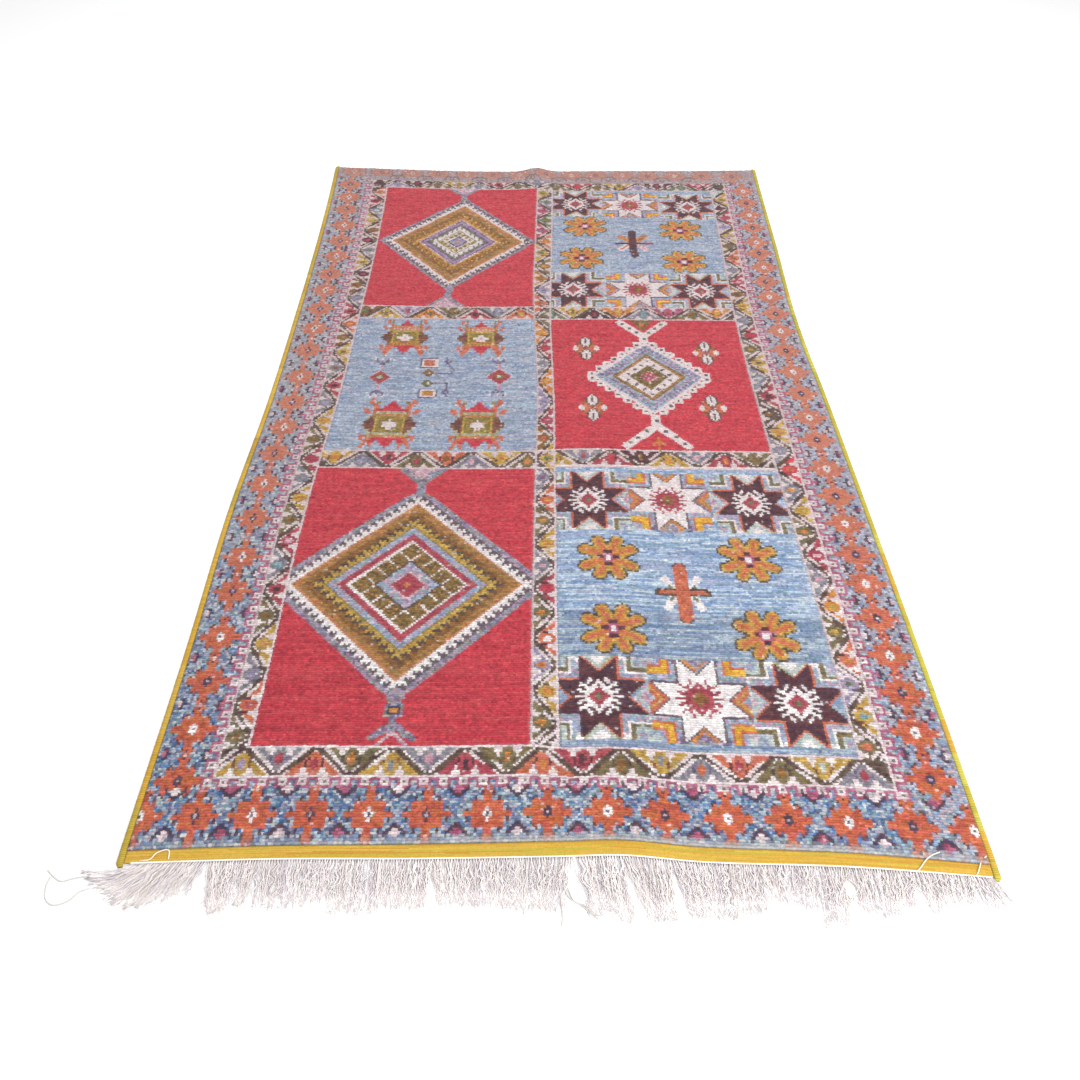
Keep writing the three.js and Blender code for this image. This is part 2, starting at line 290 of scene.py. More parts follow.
# %% The dyes
dyes = {
    # name: mean run in knots, then strand colours as eight-bit sRGB
    "red": (7, [(209, 68, 81), (204, 64, 78), (214, 73, 84), (199, 62, 76), (211, 76, 84)]),
    "sky": (5, [(155, 175, 206), (184, 202, 222), (130, 153, 190), (164, 173, 201), (192, 205, 217),
                (140, 166, 190)]),
    "pale sky": (5, [(164, 174, 199), (181, 190, 208), (147, 160, 190), (184, 183, 198), (153, 165, 184),
                     (170, 185, 203)]),
    "border blue": (1, [(114, 130, 159), (142, 160, 186), (178, 194, 211), (122, 126, 163),
                        (153, 149, 183), (131, 166, 170), (202, 206, 210), (86, 98, 132), (182, 166, 180),
                        (72, 112, 168), (212, 214, 214), (98, 140, 190), (160, 186, 206)]),
    "heather": (1, [(140, 148, 168), (164, 168, 186), (188, 186, 200), (148, 140, 168), (176, 158, 178),
                    (158, 174, 170), (200, 184, 190), (120, 120, 144), (194, 166, 172), (150, 176, 208),
                    (178, 198, 218), (208, 206, 216), (128, 160, 200)]),
    "rust": (3, [(214, 108, 78), (203, 99, 72), (222, 120, 86), (193, 91, 72), (213, 105, 88),
                 (206, 114, 70)]),
    "ivory": (3, [(255, 249, 248), (249, 239, 240), (255, 254, 250), (252, 242, 245)]),
    "rose ivory": (2, [(244, 226, 228), (234, 212, 218), (248, 236, 234), (228, 204, 210)]),
    "bark": (2, [(98, 76, 70), (110, 88, 78), (86, 66, 66), (106, 90, 72)]),
    "ink": (1.5, [(78, 66, 90), (98, 72, 88), (70, 70, 98), (92, 66, 74)]),
    "grey dot": (1, [(110, 110, 100), (96, 92, 92)]),
    "plum": (4, [(94, 56, 64), (102, 62, 68), (88, 54, 66), (108, 66, 68), (84, 58, 72)]),
    "magenta": (2, [(184, 96, 124), (170, 84, 112), (194, 114, 140), (178, 100, 132)]),
    "crimson": (3, [(177, 74, 88), (187, 84, 96), (167, 68, 84), (182, 88, 94)]),
    "pink": (2, [(221, 167, 180), (212, 155, 173), (226, 179, 189)]),
    "orange": (3, [(216, 140, 66), (206, 128, 70), (222, 152, 78), (208, 134, 86)]),
    "coral": (3, [(210, 114, 82), (216, 126, 94), (202, 106, 78), (211, 118, 100)]),
    "yellow": (2.5, [(202, 162, 76), (192, 152, 72), (212, 174, 92), (188, 156, 86)]),
    "honey": (2, [(199, 132, 70), (188, 118, 64), (206, 145, 76), (178, 112, 68)]),
    "olive": (2, [(132, 114, 78), (118, 104, 74), (144, 126, 88), (126, 118, 92)]),
    "brown": (3, [(150, 104, 58), (136, 92, 54), (160, 116, 66), (142, 100, 66)]),
    "peach": (3, [(205, 138, 92), (197, 126, 80), (210, 148, 104), (198, 133, 98)]),
    "lavender": (1.5, [(168, 148, 176), (154, 140, 174), (180, 158, 182), (158, 154, 182)]),
    "slate": (1.5, [(146, 138, 150), (132, 126, 142), (160, 152, 158), (140, 144, 150)]),
    "teal": (1.5, [(121, 166, 167), (139, 179, 179), (109, 150, 158), (153, 186, 189)]),
    "green": (2, [(114, 126, 96), (126, 136, 104), (104, 116, 92)]),
    "mint": (1.5, [(200, 210, 202), (184, 198, 194), (214, 218, 211), (190, 196, 204)]),
    "sky speckle": (1, [(158, 178, 202), (176, 190, 210), (140, 160, 194), (176, 154, 190),
                        (206, 164, 184), (150, 168, 164), (196, 192, 198)]),
    "violet speckle": (1, [(148, 138, 172), (172, 156, 188), (126, 118, 144), (190, 158, 176),
                           (156, 170, 186), (136, 108, 138), (160, 150, 150), (136, 144, 134),
                           (184, 166, 168)]),
    "tan": (3, [(174, 127, 76), (188, 136, 80), (160, 118, 72), (198, 134, 84), (156, 124, 76)]),
    "sage": (2, [(186, 180, 142), (170, 166, 128), (196, 182, 152), (176, 176, 150)]),
    "moss": (2, [(156, 134, 68), (142, 122, 62), (168, 144, 74), (136, 120, 70)]),
    "moss brown": (1.5, [(136, 110, 64), (122, 98, 58), (150, 124, 76), (112, 92, 62)]),
    "dark teeth": (1.5, [(116, 94, 102), (104, 88, 92), (126, 106, 110), (100, 90, 106)]),
    "dusk": (1.5, [(118, 108, 140), (130, 116, 150), (106, 98, 126), (138, 128, 156)]),
    "blush speckle": (1, [(218, 186, 192), (198, 160, 178), (230, 208, 206), (190, 146, 166),
                          (208, 180, 200)]),
    "purple": (2, [(134, 92, 130), (148, 104, 142), (120, 86, 122), (160, 118, 152)]),
    "plum brown": (2, [(134, 84, 68), (122, 72, 66), (146, 98, 78), (116, 76, 72)]),
    "marigold": (2, [(234, 182, 62), (226, 170, 56), (240, 192, 78), (224, 160, 60)]),
    "band ivory": (3, [(246, 232, 231), (239, 222, 224), (249, 239, 235), (242, 226, 230)]),
}
dye_names = list(dyes)


# %% [markdown]
# ## Tools of the draughtsman
# Three tools do most of the work. `tie` ties a dye wherever a condition holds, which suits lines, rings and
# fields. `quarter` ties a small motif from a quarter of its chart, since nearly every rosette of such
# a rug is the same in all four corners. `motif` ties a small whole chart, turned if it faces another way.

# %% Draughtsman's tools
def tie(dye, where):
    """Ties one dye on every knot where the condition holds."""
    chart[where] = dye_names.index(dye)


def block(c0, c1, r0, r1):
    """The knots from column c0 up to c1 and from row r0 up to r1."""
    return (column >= c0) & (column < c1) & (row >= r0) & (row < r1)


def tie_letters(letters, where_row, where_column, within, legend):
    """Ties a table of letters: each knot within reads the letter at its own row and column of it.
    A letter that the legend leaves out is not tied."""
    table = np.array([list(line) for line in letters])
    found = np.where(within, table[np.where(within, where_row, 0), np.where(within, where_column, 0)], ".")
    for letter, dye in legend.items():
        tie(dye, found == letter)


def quarter(letters, c, r, legend, turned=False):
    """A motif with four like corners. The last line of letters is its middle row and the first letter
    of each line its middle column, so a knot reads the letter at its rounded distances."""
    x, y = np.abs(np.round(column - c)), np.abs(np.round(row - r))
    x, y = np.broadcast_arrays(x, y)
    if turned:
        x, y = y, x
    high, wide = len(letters), len(letters[0])
    tie_letters(letters, (high - 1 - y).astype(int), x.astype(int), (x < wide) & (y < high), legend)


def motif(letters, c, r, legend, quarter_turns=0):
    """A whole small chart about its middle. Each quarter turn is anticlockwise."""
    x, y = np.broadcast_arrays(column - c, row - r)
    for _ in range(quarter_turns % 4):
        x, y = y, -x
    high, wide = len(letters), len(letters[0])
    i = np.floor(high / 2 - y).astype(int)
    j = np.floor(x + wide / 2).astype(int)
    tie_letters(letters, i, j, (i >= 0) & (i < high) & (j >= 0) & (j < wide), legend)


# %% [markdown]
# ## Fields
# The ground of each panel comes first. Panels alternate red and blue like a chessboard, two across and
# three along, inside a heathery blue border.

# %% Grounds
LEFT_PANEL = (FIELD_LEFT, CENTRE_LEFT)
RIGHT_PANEL = (FIELD_RIGHT, LAST_RIGHT)
first, second, third = (FIRST_NEAR, FIRST_FAR), (SECOND_NEAR, SECOND_FAR), (THIRD_NEAR, THIRD_FAR)
tie("border blue", np.ones_like(chart, bool))
tie("heather", block(OUTER_RIGHT, COLUMNS, 0, ROWS) | block(0, COLUMNS, FAR_BORDER, ROWS))
tie("ivory", block(OUTER_LEFT, OUTER_RIGHT + 1, NEAR_LINE, FAR_BORDER))
for across, along, dye in (
    (LEFT_PANEL, first, "red"),
    (RIGHT_PANEL, first, "sky"),
    (LEFT_PANEL, second, "pale sky"),
    (RIGHT_PANEL, second, "red"),
    (LEFT_PANEL, third, "red"),
    (RIGHT_PANEL, third, "pale sky"),
):
    tie(dye, block(*across, *along))


# %% [markdown]
# ## Zigzag bands
# Between the panels and the border runs a band of triangles. A dark line goes back and forth between
# the two edges, with a white line on either side of it, and each triangle that is left holds a
# three-pronged palmette in its own two colours. The line is worked out as a distance: how far a knot
# lies from a path that joins the turning points.

# %% Zigzag bands
NOTCH_FROM_HEART, NOTCH_WIDE, NOTCH_HIGH = 3.5, 1.9, 3.7
HEART_AT, HEART_WIDE, HEART_HIGH = 0.38, 1.3, 0.22
VEIN_WIDE, VEIN_FROM, VEIN_TO, VEIN_SLANT = 0.5, 2.6, 0.75, 0.25
LINE_WIDE, WHITE_WIDE, RAGGED, FLAT_TURN, HALF_TRIANGLE = 0.55, 1.4, 0.5, 1.16, 14
veins = {"slate": "dusk", "lavender": "dusk", "mint": "slate", "crimson": "plum", "magenta": "plum",
         "coral": "plum", "olive": "bark", "brown": "bark", "green": "bark", "bark": "bark", "plum": "bark"}


def zigzag(along, across, depth, palmettes, first_side, within):
    """A band along one direction. across is a knot's distance from the outer edge, and depth the band's
    width. palmettes holds (place along the band, dye, dye of its heart), with bases on the two edges in
    turn, the first on first_side (0 outer, 1 inner). The dark line turns at each, over its tip. Its
    distance is measured across the band and divided by the root of 1 + slope². Every other knot is
    a little less of dark line and colour, and a dark vein parts the three prongs."""
    along, across = np.broadcast_arrays(along, across)
    places = np.array([p[0] for p in palmettes], float)
    sides = (np.arange(len(palmettes)) + first_side) % 2

    def line(at):
        share = 0.5 + (np.interp(at, places, 1 - sides) - 0.5) * FLAT_TURN
        return np.clip(share * depth, 0.5, depth - 0.5)

    wave, slope = line(along), line(along + 0.5) - line(along - 0.5)
    distance = np.abs(across - wave) / np.hypot(1, slope)
    tie("band ivory", within)
    ragged = RAGGED * ((knot_row + knot_column) % 2)
    bounds = [places[0] - HALF_TRIANGLE, *places, places[-1] + HALF_TRIANGLE]
    for n, (place, dye, heart) in enumerate(palmettes):
        from_base = depth - across if sides[n] else across
        reach = depth - wave if sides[n] else wave
        mine = within & (along > bounds[n]) & (along < bounds[n + 2])
        mine &= (from_base < reach) & (distance > WHITE_WIDE + ragged)
        aside = np.abs(along - place)
        tie(dye, mine)
        vein = np.abs(aside - NOTCH_FROM_HEART + VEIN_SLANT * (from_base - VEIN_FROM)) < VEIN_WIDE
        vein &= (from_base > VEIN_FROM) & (from_base < VEIN_TO * reach)
        tie(veins.get(dye, "plum brown"), mine & vein)
        tie(heart, mine & (np.hypot(aside / HEART_WIDE, (from_base / depth - HEART_AT) / HEART_HIGH) < 1))
        notch = np.abs(aside - NOTCH_FROM_HEART) / NOTCH_WIDE + from_base / NOTCH_HIGH < 1
        tie("band ivory", mine & notch)
    tie("bark", within & (distance < LINE_WIDE + ragged))


palmette_dyes = {
    "k": "bark", "y": "yellow", "l": "lavender", "s": "slate", "c": "crimson", "o": "coral", "v": "olive",
    "a": "orange", "p": "pink", "u": "plum", "b": "brown", "m": "mint", "g": "green", "t": "teal",
    "e": "peach", "r": "red", "x": "magenta", "w": "purple", "h": "honey", "i": "ivory",
}


def palmettes_from(text):
    """Reads palmettes from words like 31yl: the place, then the letters of its dye and of its heart."""
    return [(float(word[:-2]), palmette_dyes[word[-2]], palmette_dyes[word[-1]]) for word in text.split()]


def band_across(r0, r1, c0, c1, text, first_side):
    """A zigzag from column c0 to c1 between two rows. The palmettes' places are columns of the rug."""
    seated = [(seat(place, (r0 + r1) / 2)[0], dye, heart) for place, dye, heart in palmettes_from(text)]
    zigzag(column, row - r0, r1 - r0, seated, first_side, block(c0, c1, r0, r1))


def band_along(c0, c1, r0, r1, text, first_side, mirrored=False):
    """A zigzag from row r0 to r1 between two columns. The palmettes' places are rows of the rug."""
    seated = [(seat((c0 + c1) / 2, place)[1], dye, heart) for place, dye, heart in palmettes_from(text)]
    across = c1 - column if mirrored else column - c0
    zigzag(row, across, c1 - c0, seated, first_side, block(c0, c1, r0, r1))


# %% The bands across the rug
for rows, columns, first_side, text in (
    ((NEAR_LINE + 1, FIRST_NEAR - 1), (OUTER_LEFT + 1, OUTER_RIGHT), 1,
     "18kk 31yl 44sc 57oc 70va 84.5ys 98sp 111.5cu 126.5va 139.5oa 154cu 168vb 182.5ys 197so 211oc 226vb "
     "241.5ym 256sc 270kk"),
    ((THIRD_FAR + 1, FAR_BORDER), (OUTER_LEFT + 1, OUTER_RIGHT), 1,
     "30uu 43ls 56uc 70vb 84.5yv 98sl 112cu 125vv 138ss 151vv 166cr 179.5vb 195yv 208ls 221uc 238gs "
     "250cp 264kk"),
):
    band_across(*rows, *columns, text, first_side)

# %% The bands along the rug
for columns, first_side, mirrored, text in (
    ((OUTER_LEFT + 1, FIELD_LEFT - 1), 1, False,
     "27kk 41vb 54.5oc 68.5sl 83ye 97vb 111cu 124.5st 138.5cp 151vb 165ya 178ss 191cc 205vb 219ya 233sl "
     "247cu 262sb 276yv 289bv 302oa 314cu 328sl 341bb 353uc 366yv 380sg 391.5uc 404bv 416yy 429sm 441cu "
     "453ob 464kk"),
    ((LAST_RIGHT + 1, OUTER_RIGHT), 0, True,
     "26kk 40vo 53yt 67lg 78oa 92vy 105ay 119.5sp 133cp 147va 160yy 173sa 187ro 200sl 213.5ye 227kb "
     "241cu 256sm 269yv 281vy 294cr 308ss 322yh 334bk 347cp 360ss 373ob 387vb 399.5yl 410ls 422cx 434uu "
     "445yv 458ml 470kk"),
    ((CENTRE_LEFT + 1, FIELD_RIGHT - 1), 1, False,
     "34kk 46va 60ya 72la 85oi 98.5va 111.5cr 124sp 137ya 151va 164oa 179sw 192yg 207bo 220cx 235ls "
     "252ay 267ss 281cr 295ay 310vk 324ob 338ls 350hb 364va 379yg 393ea 406cw 419gv 431xc 443sg 454yg "
     "466kk"),
):
    band_along(*columns, FIRST_NEAR - 1, THIRD_FAR + 1, text, first_side, mirrored)

# %% The bands between panels
for rows, columns, text in (
    ((FIRST_FAR + 1, SECOND_NEAR - 1), LEFT_PANEL,
     "26kk 40ya 53sl 66cu 80vc 94ob 106.5sp 121ya 133.5va 147kk"),
    ((FIRST_FAR + 2, SECOND_NEAR - 1), RIGHT_PANEL,
     "147yv 161sc 174.5cr 189ub 203ya 217sp 231ca 245.5vb 260kk"),
    ((SECOND_FAR + 1, THIRD_NEAR - 1), LEFT_PANEL,
     "25kk 38bg 50.5yv 63lc 76av 90vb 102.5cu 116sl 129.5oy 143kk"),
    ((SECOND_FAR + 1, THIRD_NEAR - 1), RIGHT_PANEL,
     "147gt 160yv 173uc 187ay 202st 217xc 231vb 246ay 260kk"),
):
    band_across(*rows, *columns, text, first_side=0)
for line in (NEAR_LINE, FIRST_NEAR - 1, FIRST_FAR, SECOND_NEAR - 1, SECOND_FAR, THIRD_NEAR - 1, THIRD_FAR):
    tie("rose ivory", block(FIELD_LEFT - 1, LAST_RIGHT + 1, line, line + 1))
for line in (OUTER_LEFT, OUTER_RIGHT):
    tie("rose ivory", block(line, line + 1, NEAR_LINE, FAR_BORDER))
for line in (FIELD_LEFT - 1, CENTRE_LEFT, FIELD_RIGHT - 1, LAST_RIGHT):
    tie("rose ivory", block(line, line + 1, FIRST_NEAR - 1, THIRD_FAR))
print(f"chart of {COLUMNS} by {ROWS} knots, {len(dyes)} dyes")

# %% [markdown]
# ## The border
# Orange rosettes stand in single file round the border, every other one with a dark heart. Small hats
# point in from both edges between them, and a toothed edging of white squares and a magenta line parts
# the border from the bands. The rosettes are set as the weaver set them: their spacing grows
# and shrinks a little, so each side has its own list of places.

# %% Edging
SQUARE_PITCH = 7.1
edging = """
WWWMMMM
WdWMbbM
WWWMwbM
MMMMbbM
""".split()
edging_legend = {"W": "rose ivory", "M": "magenta", "d": "grey dot", "w": "mint"}


def tie_edging(along, from_line, within):
    """The edging beside the outer white line: its letters repeat every SQUARE_PITCH knots along it."""
    along, from_line = np.broadcast_arrays(along, from_line)
    letter = np.floor(along % SQUARE_PITCH).astype(int) % len(edging[0])
    depth = np.floor(from_line).astype(int)
    tie_letters(edging, depth, letter, within & (depth >= 0) & (depth < len(edging)), edging_legend)


tie_edging(column - BORDER, NEAR_LINE - row, block(BORDER, BORDER_RIGHT, EDGING_NEAR, NEAR_LINE))
for from_line, columns in (
    (OUTER_LEFT - column, (BORDER, OUTER_LEFT)),
    (column - OUTER_RIGHT - 1, (OUTER_RIGHT + 1, BORDER_RIGHT)),
):
    tie_edging(row - EDGING_NEAR - 1, from_line, block(*columns, EDGING_NEAR, FAR_BORDER))

# %% Rosettes
rosette = """
PO........
kOO.......
OOk.......
OO........
OO..k.....
OOO.Ok....
OOOOOO....
OOOOOO....
HOOOOO.k..
HHOOOOOOO.
CHOOOOOOO.
""".split()


def single_file(lengthwise, *runs):
    """Places along a border. Each run holds one coordinate across it, then those along it."""
    return [(across, along) if lengthwise else (along, across) for across, *run in runs for along in run]


rosette_places = {
    "near": single_file(False, (10.5, 0.5),
                        (10, 20, 39, 59, 79, 99, 120, 141, 162, 182, 204, 225, 246, 268, 289)),
    "left": single_file(True, (10, 23.5, 44.5, 65.5, 86.5, 110, 129, 152, 174, 195), (10.5, 214, 233),
                        (11, 254, 277, 297, 316), (11.5, 335, 352), (12, 372, 390, 409), (11.5, 429),
                        (11, 445), (10.5, 462), (11, 481)),
    "right": single_file(True, (280, 28.6, 47, 64, 81.5, 100, 117.7, 134.4, 153, 169.7, 188.3, 208, 225.5,
                                244), (280.5, 262, 280.4), (281, 298, 314.7), (280.5, 331.4), (280, 347),
                         (281, 362.7), (280.5, 378.4, 392, 408.8, 425.5, 441, 457), (275, 477)),
    "far": single_file(False, (481, 31, 51.5, 70, 89), (480.5, 107, 126), (480, 144, 162),
                       (479.5, 179, 197.5), (479, 216, 234.5), (478.5, 254)),
}


def tie_rosette(place, dark_heart, short=False):
    """An orange rosette with a stem and a bud to two sides. Its heart is dark or white."""
    heart, centre = ("ink", "blush speckle") if dark_heart else ("ivory", "ink")
    legend = {"O": "rust", "k": "plum", "P": "blush speckle", "H": heart, "C": centre}
    quarter(rosette[5:] if short else rosette, *seat(*place), legend)


for side, places in rosette_places.items():
    for n, place in enumerate(places):
        tie_rosette(place, dark_heart=(n + (side == "near")) % 2 == 0, short=side == "far")
corner_strip = block(5, 15.5, 12.5, 16)  # the ground parts the rosette of the near left corner
tie("border blue", corner_strip)

# %% Hats between the rosettes
wide_hat = """
...kk...
..kkkk..
.kkXXkk.
kkXXXXkk
k..XX..k
""".split()
small_hat = """
...k...
.kkkkk.
.kXXXk.
...X...
""".split()
for side, quarter_turns, edges, first_red in (
    ("near", 0, (4, 18.2), 1),
    ("left", 3, (3, 17.5), 0),
    ("right", 1, (287.5, 272.5), 1),
):
    places = np.array(rosette_places[side])
    lengthwise = side != "near"
    hat = small_hat if lengthwise else wide_hat
    for n, (c, r) in enumerate((places[:-1] + places[1:]) / 2):
        for k, edge in enumerate(edges):
            where = seat(edge, r) if lengthwise else seat(c, edge)
            core = "magenta" if (n + k * lengthwise - first_red) % 2 == 0 else "rose ivory"
            motif(hat, *where, {"k": "ink", "X": core}, quarter_turns + 2 * k)

# %% [markdown]
# ## Diamonds of the red panels
# The two big diamonds are rings about a centre. On a knot grid a diamond's edge climbs one row for each
# column, so a knot's ring is the sum of its two distances from the centre. Combs, where two colours
# bite into each other, come from the column's number: every third column belongs to the dark teeth.

# %% Tools for panel motifs
def from_place(c, r):
    """How far every knot lies to the right of a place of the finished rug, and how far beyond it."""
    at_column, at_row = seat(c, r)
    return column - at_column, row - at_row


def stroke(dye, width, *places):
    """Ties a dye along a path through places of the rug, width knots wide."""
    path = [seat(*place) for place in places]
    for (c0, r0), (c1, r1) in zip(path, path[1:]):
        length = (c1 - c0) ** 2 + (r1 - r0) ** 2
        share = np.clip(((column - c0) * (c1 - c0) + (row - r0) * (r1 - r0)) / length, 0, 1)
        tie(dye, np.hypot(column - c0 - share * (c1 - c0), row - r0 - share * (r1 - r0)) < width / 2)


def halves(letters, c, r, legend, upside_down=False):
    """A motif whose left half mirrors its right one. The first letter of each line is the middle column,
    and the lines run from the far side to the near side."""
    x, y = from_place(c, r)
    x, y = np.broadcast_arrays(np.abs(np.round(x)), np.round(-y if upside_down else y))
    high, wide = len(letters), max(map(len, letters))
    lines = [line.ljust(wide, ".") for line in letters]
    i = ((high - 1) // 2 - y).astype(int)
    tie_letters(lines, i, x.astype(int), (i >= 0) & (i < high) & (x < wide), legend)


def rings(distance, within, *steps):
    """Rings from the outermost one inwards. Each step is (outer distance, dye), or (outer distance, dye,
    second dye) for a comb whose every third column is of the second dye."""
    for outer, dye, *second in steps:
        tie(dye, within & (distance < outer))
        if second:
            tie(second[0], within & (distance < outer) & (knot_column % 3 == 0))


def nested(c, r, half_wide, half_high, within, *steps):
    """Diamonds one inside the other: rings by the sum of a knot's two shares of the half sizes."""
    x, y = from_place(c, r)
    rings(np.abs(x) / half_wide + np.abs(y) / half_high, within, *steps)


def boxed(c, r, half_wide, half_high, within, *steps):
    """Boxes one inside the other: rings by the larger of a knot's two shares of the half sizes."""
    x, y = from_place(c, r)
    rings(np.maximum(np.abs(x) / half_wide, np.abs(y) / half_high), within, *steps)


def fan(c, r, facing, within, *layers):
    """A fan that opens beyond its place, or before it if facing is -1. Each layer is a dye, its half width
    at the place and its growth in a row. Pink is sprinkled on the last one."""
    x, y = from_place(c, r)
    for dye, wide, growth in layers:
        layer = within & (facing * y > 0) & (np.abs(x) < wide + growth * facing * y)
        tie(dye, layer)
    tie("pink", layer & ((knot_column + knot_row) % 3 == 0))


def lattice(x, y, pitch, half_open, where, most=np.inf):
    """Ivory lines on both slants where the condition holds, pitch knots apart. Half of each gap between
    them is half_open knots wide, and none lies most knots or more from the middle."""
    for slant in (x + y, x - y):
        from_gap = np.abs((slant + pitch / 2) % pitch - pitch / 2)
        tie("ivory", where & (from_gap > half_open) & (np.abs(slant) < most))


# %% The near diamond, whose outermost ring ends in steeper tips
red_near = block(*LEFT_PANEL, *first)
x, y = from_place(83, 113.5)
reach = np.abs(x) + np.abs(y)
outermost = 59 - np.maximum(np.abs(y) - 53, 0)
rings(
    reach, red_near,
    (outermost, "violet speckle"), (55.2, "dark teeth"), (54.4, "dark teeth", "ivory"),
    (52.4, "ivory", "dark teeth"), (50.5, "ivory"), (48.6, "peach"), (47.2, "tan"), (43.5, "brown"),
    (41.2, "brown", "bark"), (39.6, "bark", "yellow"), (37.6, "yellow", "bark"), (36, "yellow"),
    (34.4, "moss"), (33.6, "sky speckle"), (29.5, "crimson"), (25.6, "ivory"), (24.2, "moss brown"),
)
lattice(x, y, 9, 3.7, red_near & (reach < 24.2) & (reach > 14), most=20)
tie("tan", red_near & (reach < 24) & (reach > 14) & ((knot_column + 2 * knot_row) % 5 == 0))
rings(reach, red_near, (14, "bark"), (12.8, "sky speckle"), (9, "blush speckle"), (7, "crimson"),
      (1.6, "orange"))

# %% Stems of the near diamond
stroke("violet speckle", 4, (84, 168), (84, 178))
fan(83.5, 174, 1, red_near, ("slate", 1, 1), ("violet speckle", -1, 1), ("blush speckle", -3.6, 0.9))
for wide, *path in ((3, (83, 60), (83, 43)), (6.5, (83, 59), (83, 57.5)), (3, (83, 46), (76, 40)),
                    (3, (83, 46), (91, 40))):
    stroke("violet speckle", wide, *path)
boxed(83, 52, 1, 1, red_near, (3.4, "violet speckle"), (2.4, "ink"), (1.1, "orange"))
x, y = from_place(83, 37)
for dye, tip in (("blush speckle", 6.5), ("red", 4.5)):
    tie(dye, red_near & (np.abs(x) < tip - y))

# %% The far diamond
LEANS_BY, NARROWER = 0.045, 1.08
red_far = block(*LEFT_PANEL, *third)
x, y = from_place(87.3, 392)
x = x - LEANS_BY * y
reach = NARROWER * np.abs(x) + np.abs(y)
rings(
    reach, red_far,
    (55, "violet speckle"), (52.6, "dark teeth"), (51.6, "dark teeth", "ivory"),
    (49.6, "ivory", "dark teeth"), (47.5, "ivory"), (45.5, "peach"), (43.5, "tan"), (38.2, "brown"),
    (35.5, "brown", "yellow"), (33, "honey", "brown"), (29.5, "yellow"), (27.6, "blush speckle"),
    (26.2, "purple"), (24.6, "lavender"), (22.5, "purple"), (20.5, "green"), (19, "ivory", "green"),
    (16, "ivory"), (14, "moss"),
)
lattice(x, y, 5, 1.9, red_far & (reach < 13) & (reach > 7))
rings(reach, red_far, (7, "ink"), (5.5, "lavender"), (1.5, "orange"))

# %% Stems of the far diamond
stroke("violet speckle", 4, (89, 445), (89, 453))
fan(88.5, 450, 1, red_far, ("violet speckle", 1, 1), ("blush speckle", -2.5, 1))
stroke("violet speckle", 4, (86, 342), (85, 329))
fan(84.5, 331, -1, red_far, ("violet speckle", 2, 1), ("blush speckle", -1.5, 1))

# %% [markdown]
# ## The blue panel of small beasts
# Four squat figures with hooks at their corners look like turtles from above. They stand in two pairs,
# and the pairs differ in the height of their stripes, so there are two charts. Between them lie small
# diamonds with claws and two little boxes with bent lines.

# %% Turtles
near_turtle = """
..........OO
R......E..OO
RR.....EE.OOO
RR......E.OO
RRR.....OOO
RRRR....OOO
RRRRR..OOO
RRRRRRRROO...OO
RRRRRRRRRO..OOO
GGGGGGGGO..OORO
GGGGGGGGEO.OOO
PPPPPPPPEO..OO
PPPPPPPEEO
HHHHHHHHEOB
EEEEEEEYEBBG
EEEEEEEYBBBBG
WEEEEEEYBBBB
WKWEEEEYBBBBB
WWWKEEEYBBBBBB
KWKWWEEYBBBBBBO
WWWWEEEYBBBBBB
WKWEEEEYBBBBB
KWEEEEEYBBBBG
EEEEEEEYBBBGG
EEEEEEEYBBGG
HYHYHYHYEGGG
GGGGGGGGEGG
GGGGGGGGGE..OO
PPPPPPPPPGEOOO
PPPPPPPPOOE.OO
RRRRRRRROOO.OO
RRRRRRRRROOO
RRRR..RRROOO
RRR.....ROOO
RRR....OO.OO
RR.....OO.OOO
R......O...OO
""".split()
far_turtle = """
R.......E.OO
RR.....EE.OO
RR......E.OO
RRR.....OOO
RRRR....OO
RRRRR..OO
PPPPPPPPEO..OO
PKPKPKPKEE.OOO
PKPKPKPKPE.OO
PKPKPKPPYO..O
YYYYYYYYEO
HHHHHHHYEB
EEEEEEEYEBB
WEEEEEEYBBBB
WWEEEEEYBBBBB
WWWEEEEYBBBBB
KWWWWEEYBBBBBB
KWWWWEEYBBBBBB
WWWEEEEYBBBBB
WWEEEEEYBBBB
HHHHHHHYEBB
HHHHHHHHEB
YHYHYHYHHE
OOOOOOOOOHE..O
RRRRRROOOOO.OO
RRRRR..OOO.OOO
RRRR...OOOO.OO
RRR.....OOO
RRR.....OOOO
RR.......OOO
R........OOO
.........EOO
..........O
""".split()
turtle_legend = {"R": "red", "O": "coral", "Y": "yellow", "E": "moss", "G": "sage", "P": "peach",
                 "B": "plum brown", "W": "ivory", "K": "pink", "H": "honey"}
for c in (62.5, 108):
    halves(near_turtle, c, 218, turtle_legend)
for c in (63.3, 107):
    halves(far_turtle, c, 290, turtle_legend)

# %% Diamonds with claws
claw = """
W..W.
W..kW
kW.k.
k.kk.
kkk..
kk...
W....
""".split()
claw_legend = {"W": "ivory", "k": "dusk"}
beasts = block(*LEFT_PANEL, *second)
for c, r, size in ((53.5, 254.5, 5.8), (117.5, 256, 6.3)):
    nested(c, r, 1, 1, beasts, (size + 1, "blush speckle"), (size, "crimson"), (3.2, "brown"), (1.2, "mint"))
    halves(claw, c, r + 13.5, claw_legend)
    halves(claw, c, r - 13, claw_legend, upside_down=True)
    for way in (-1, 1):
        stroke("pink", 1.5, (c, r + 7 * way), (c, r + 10 * way))

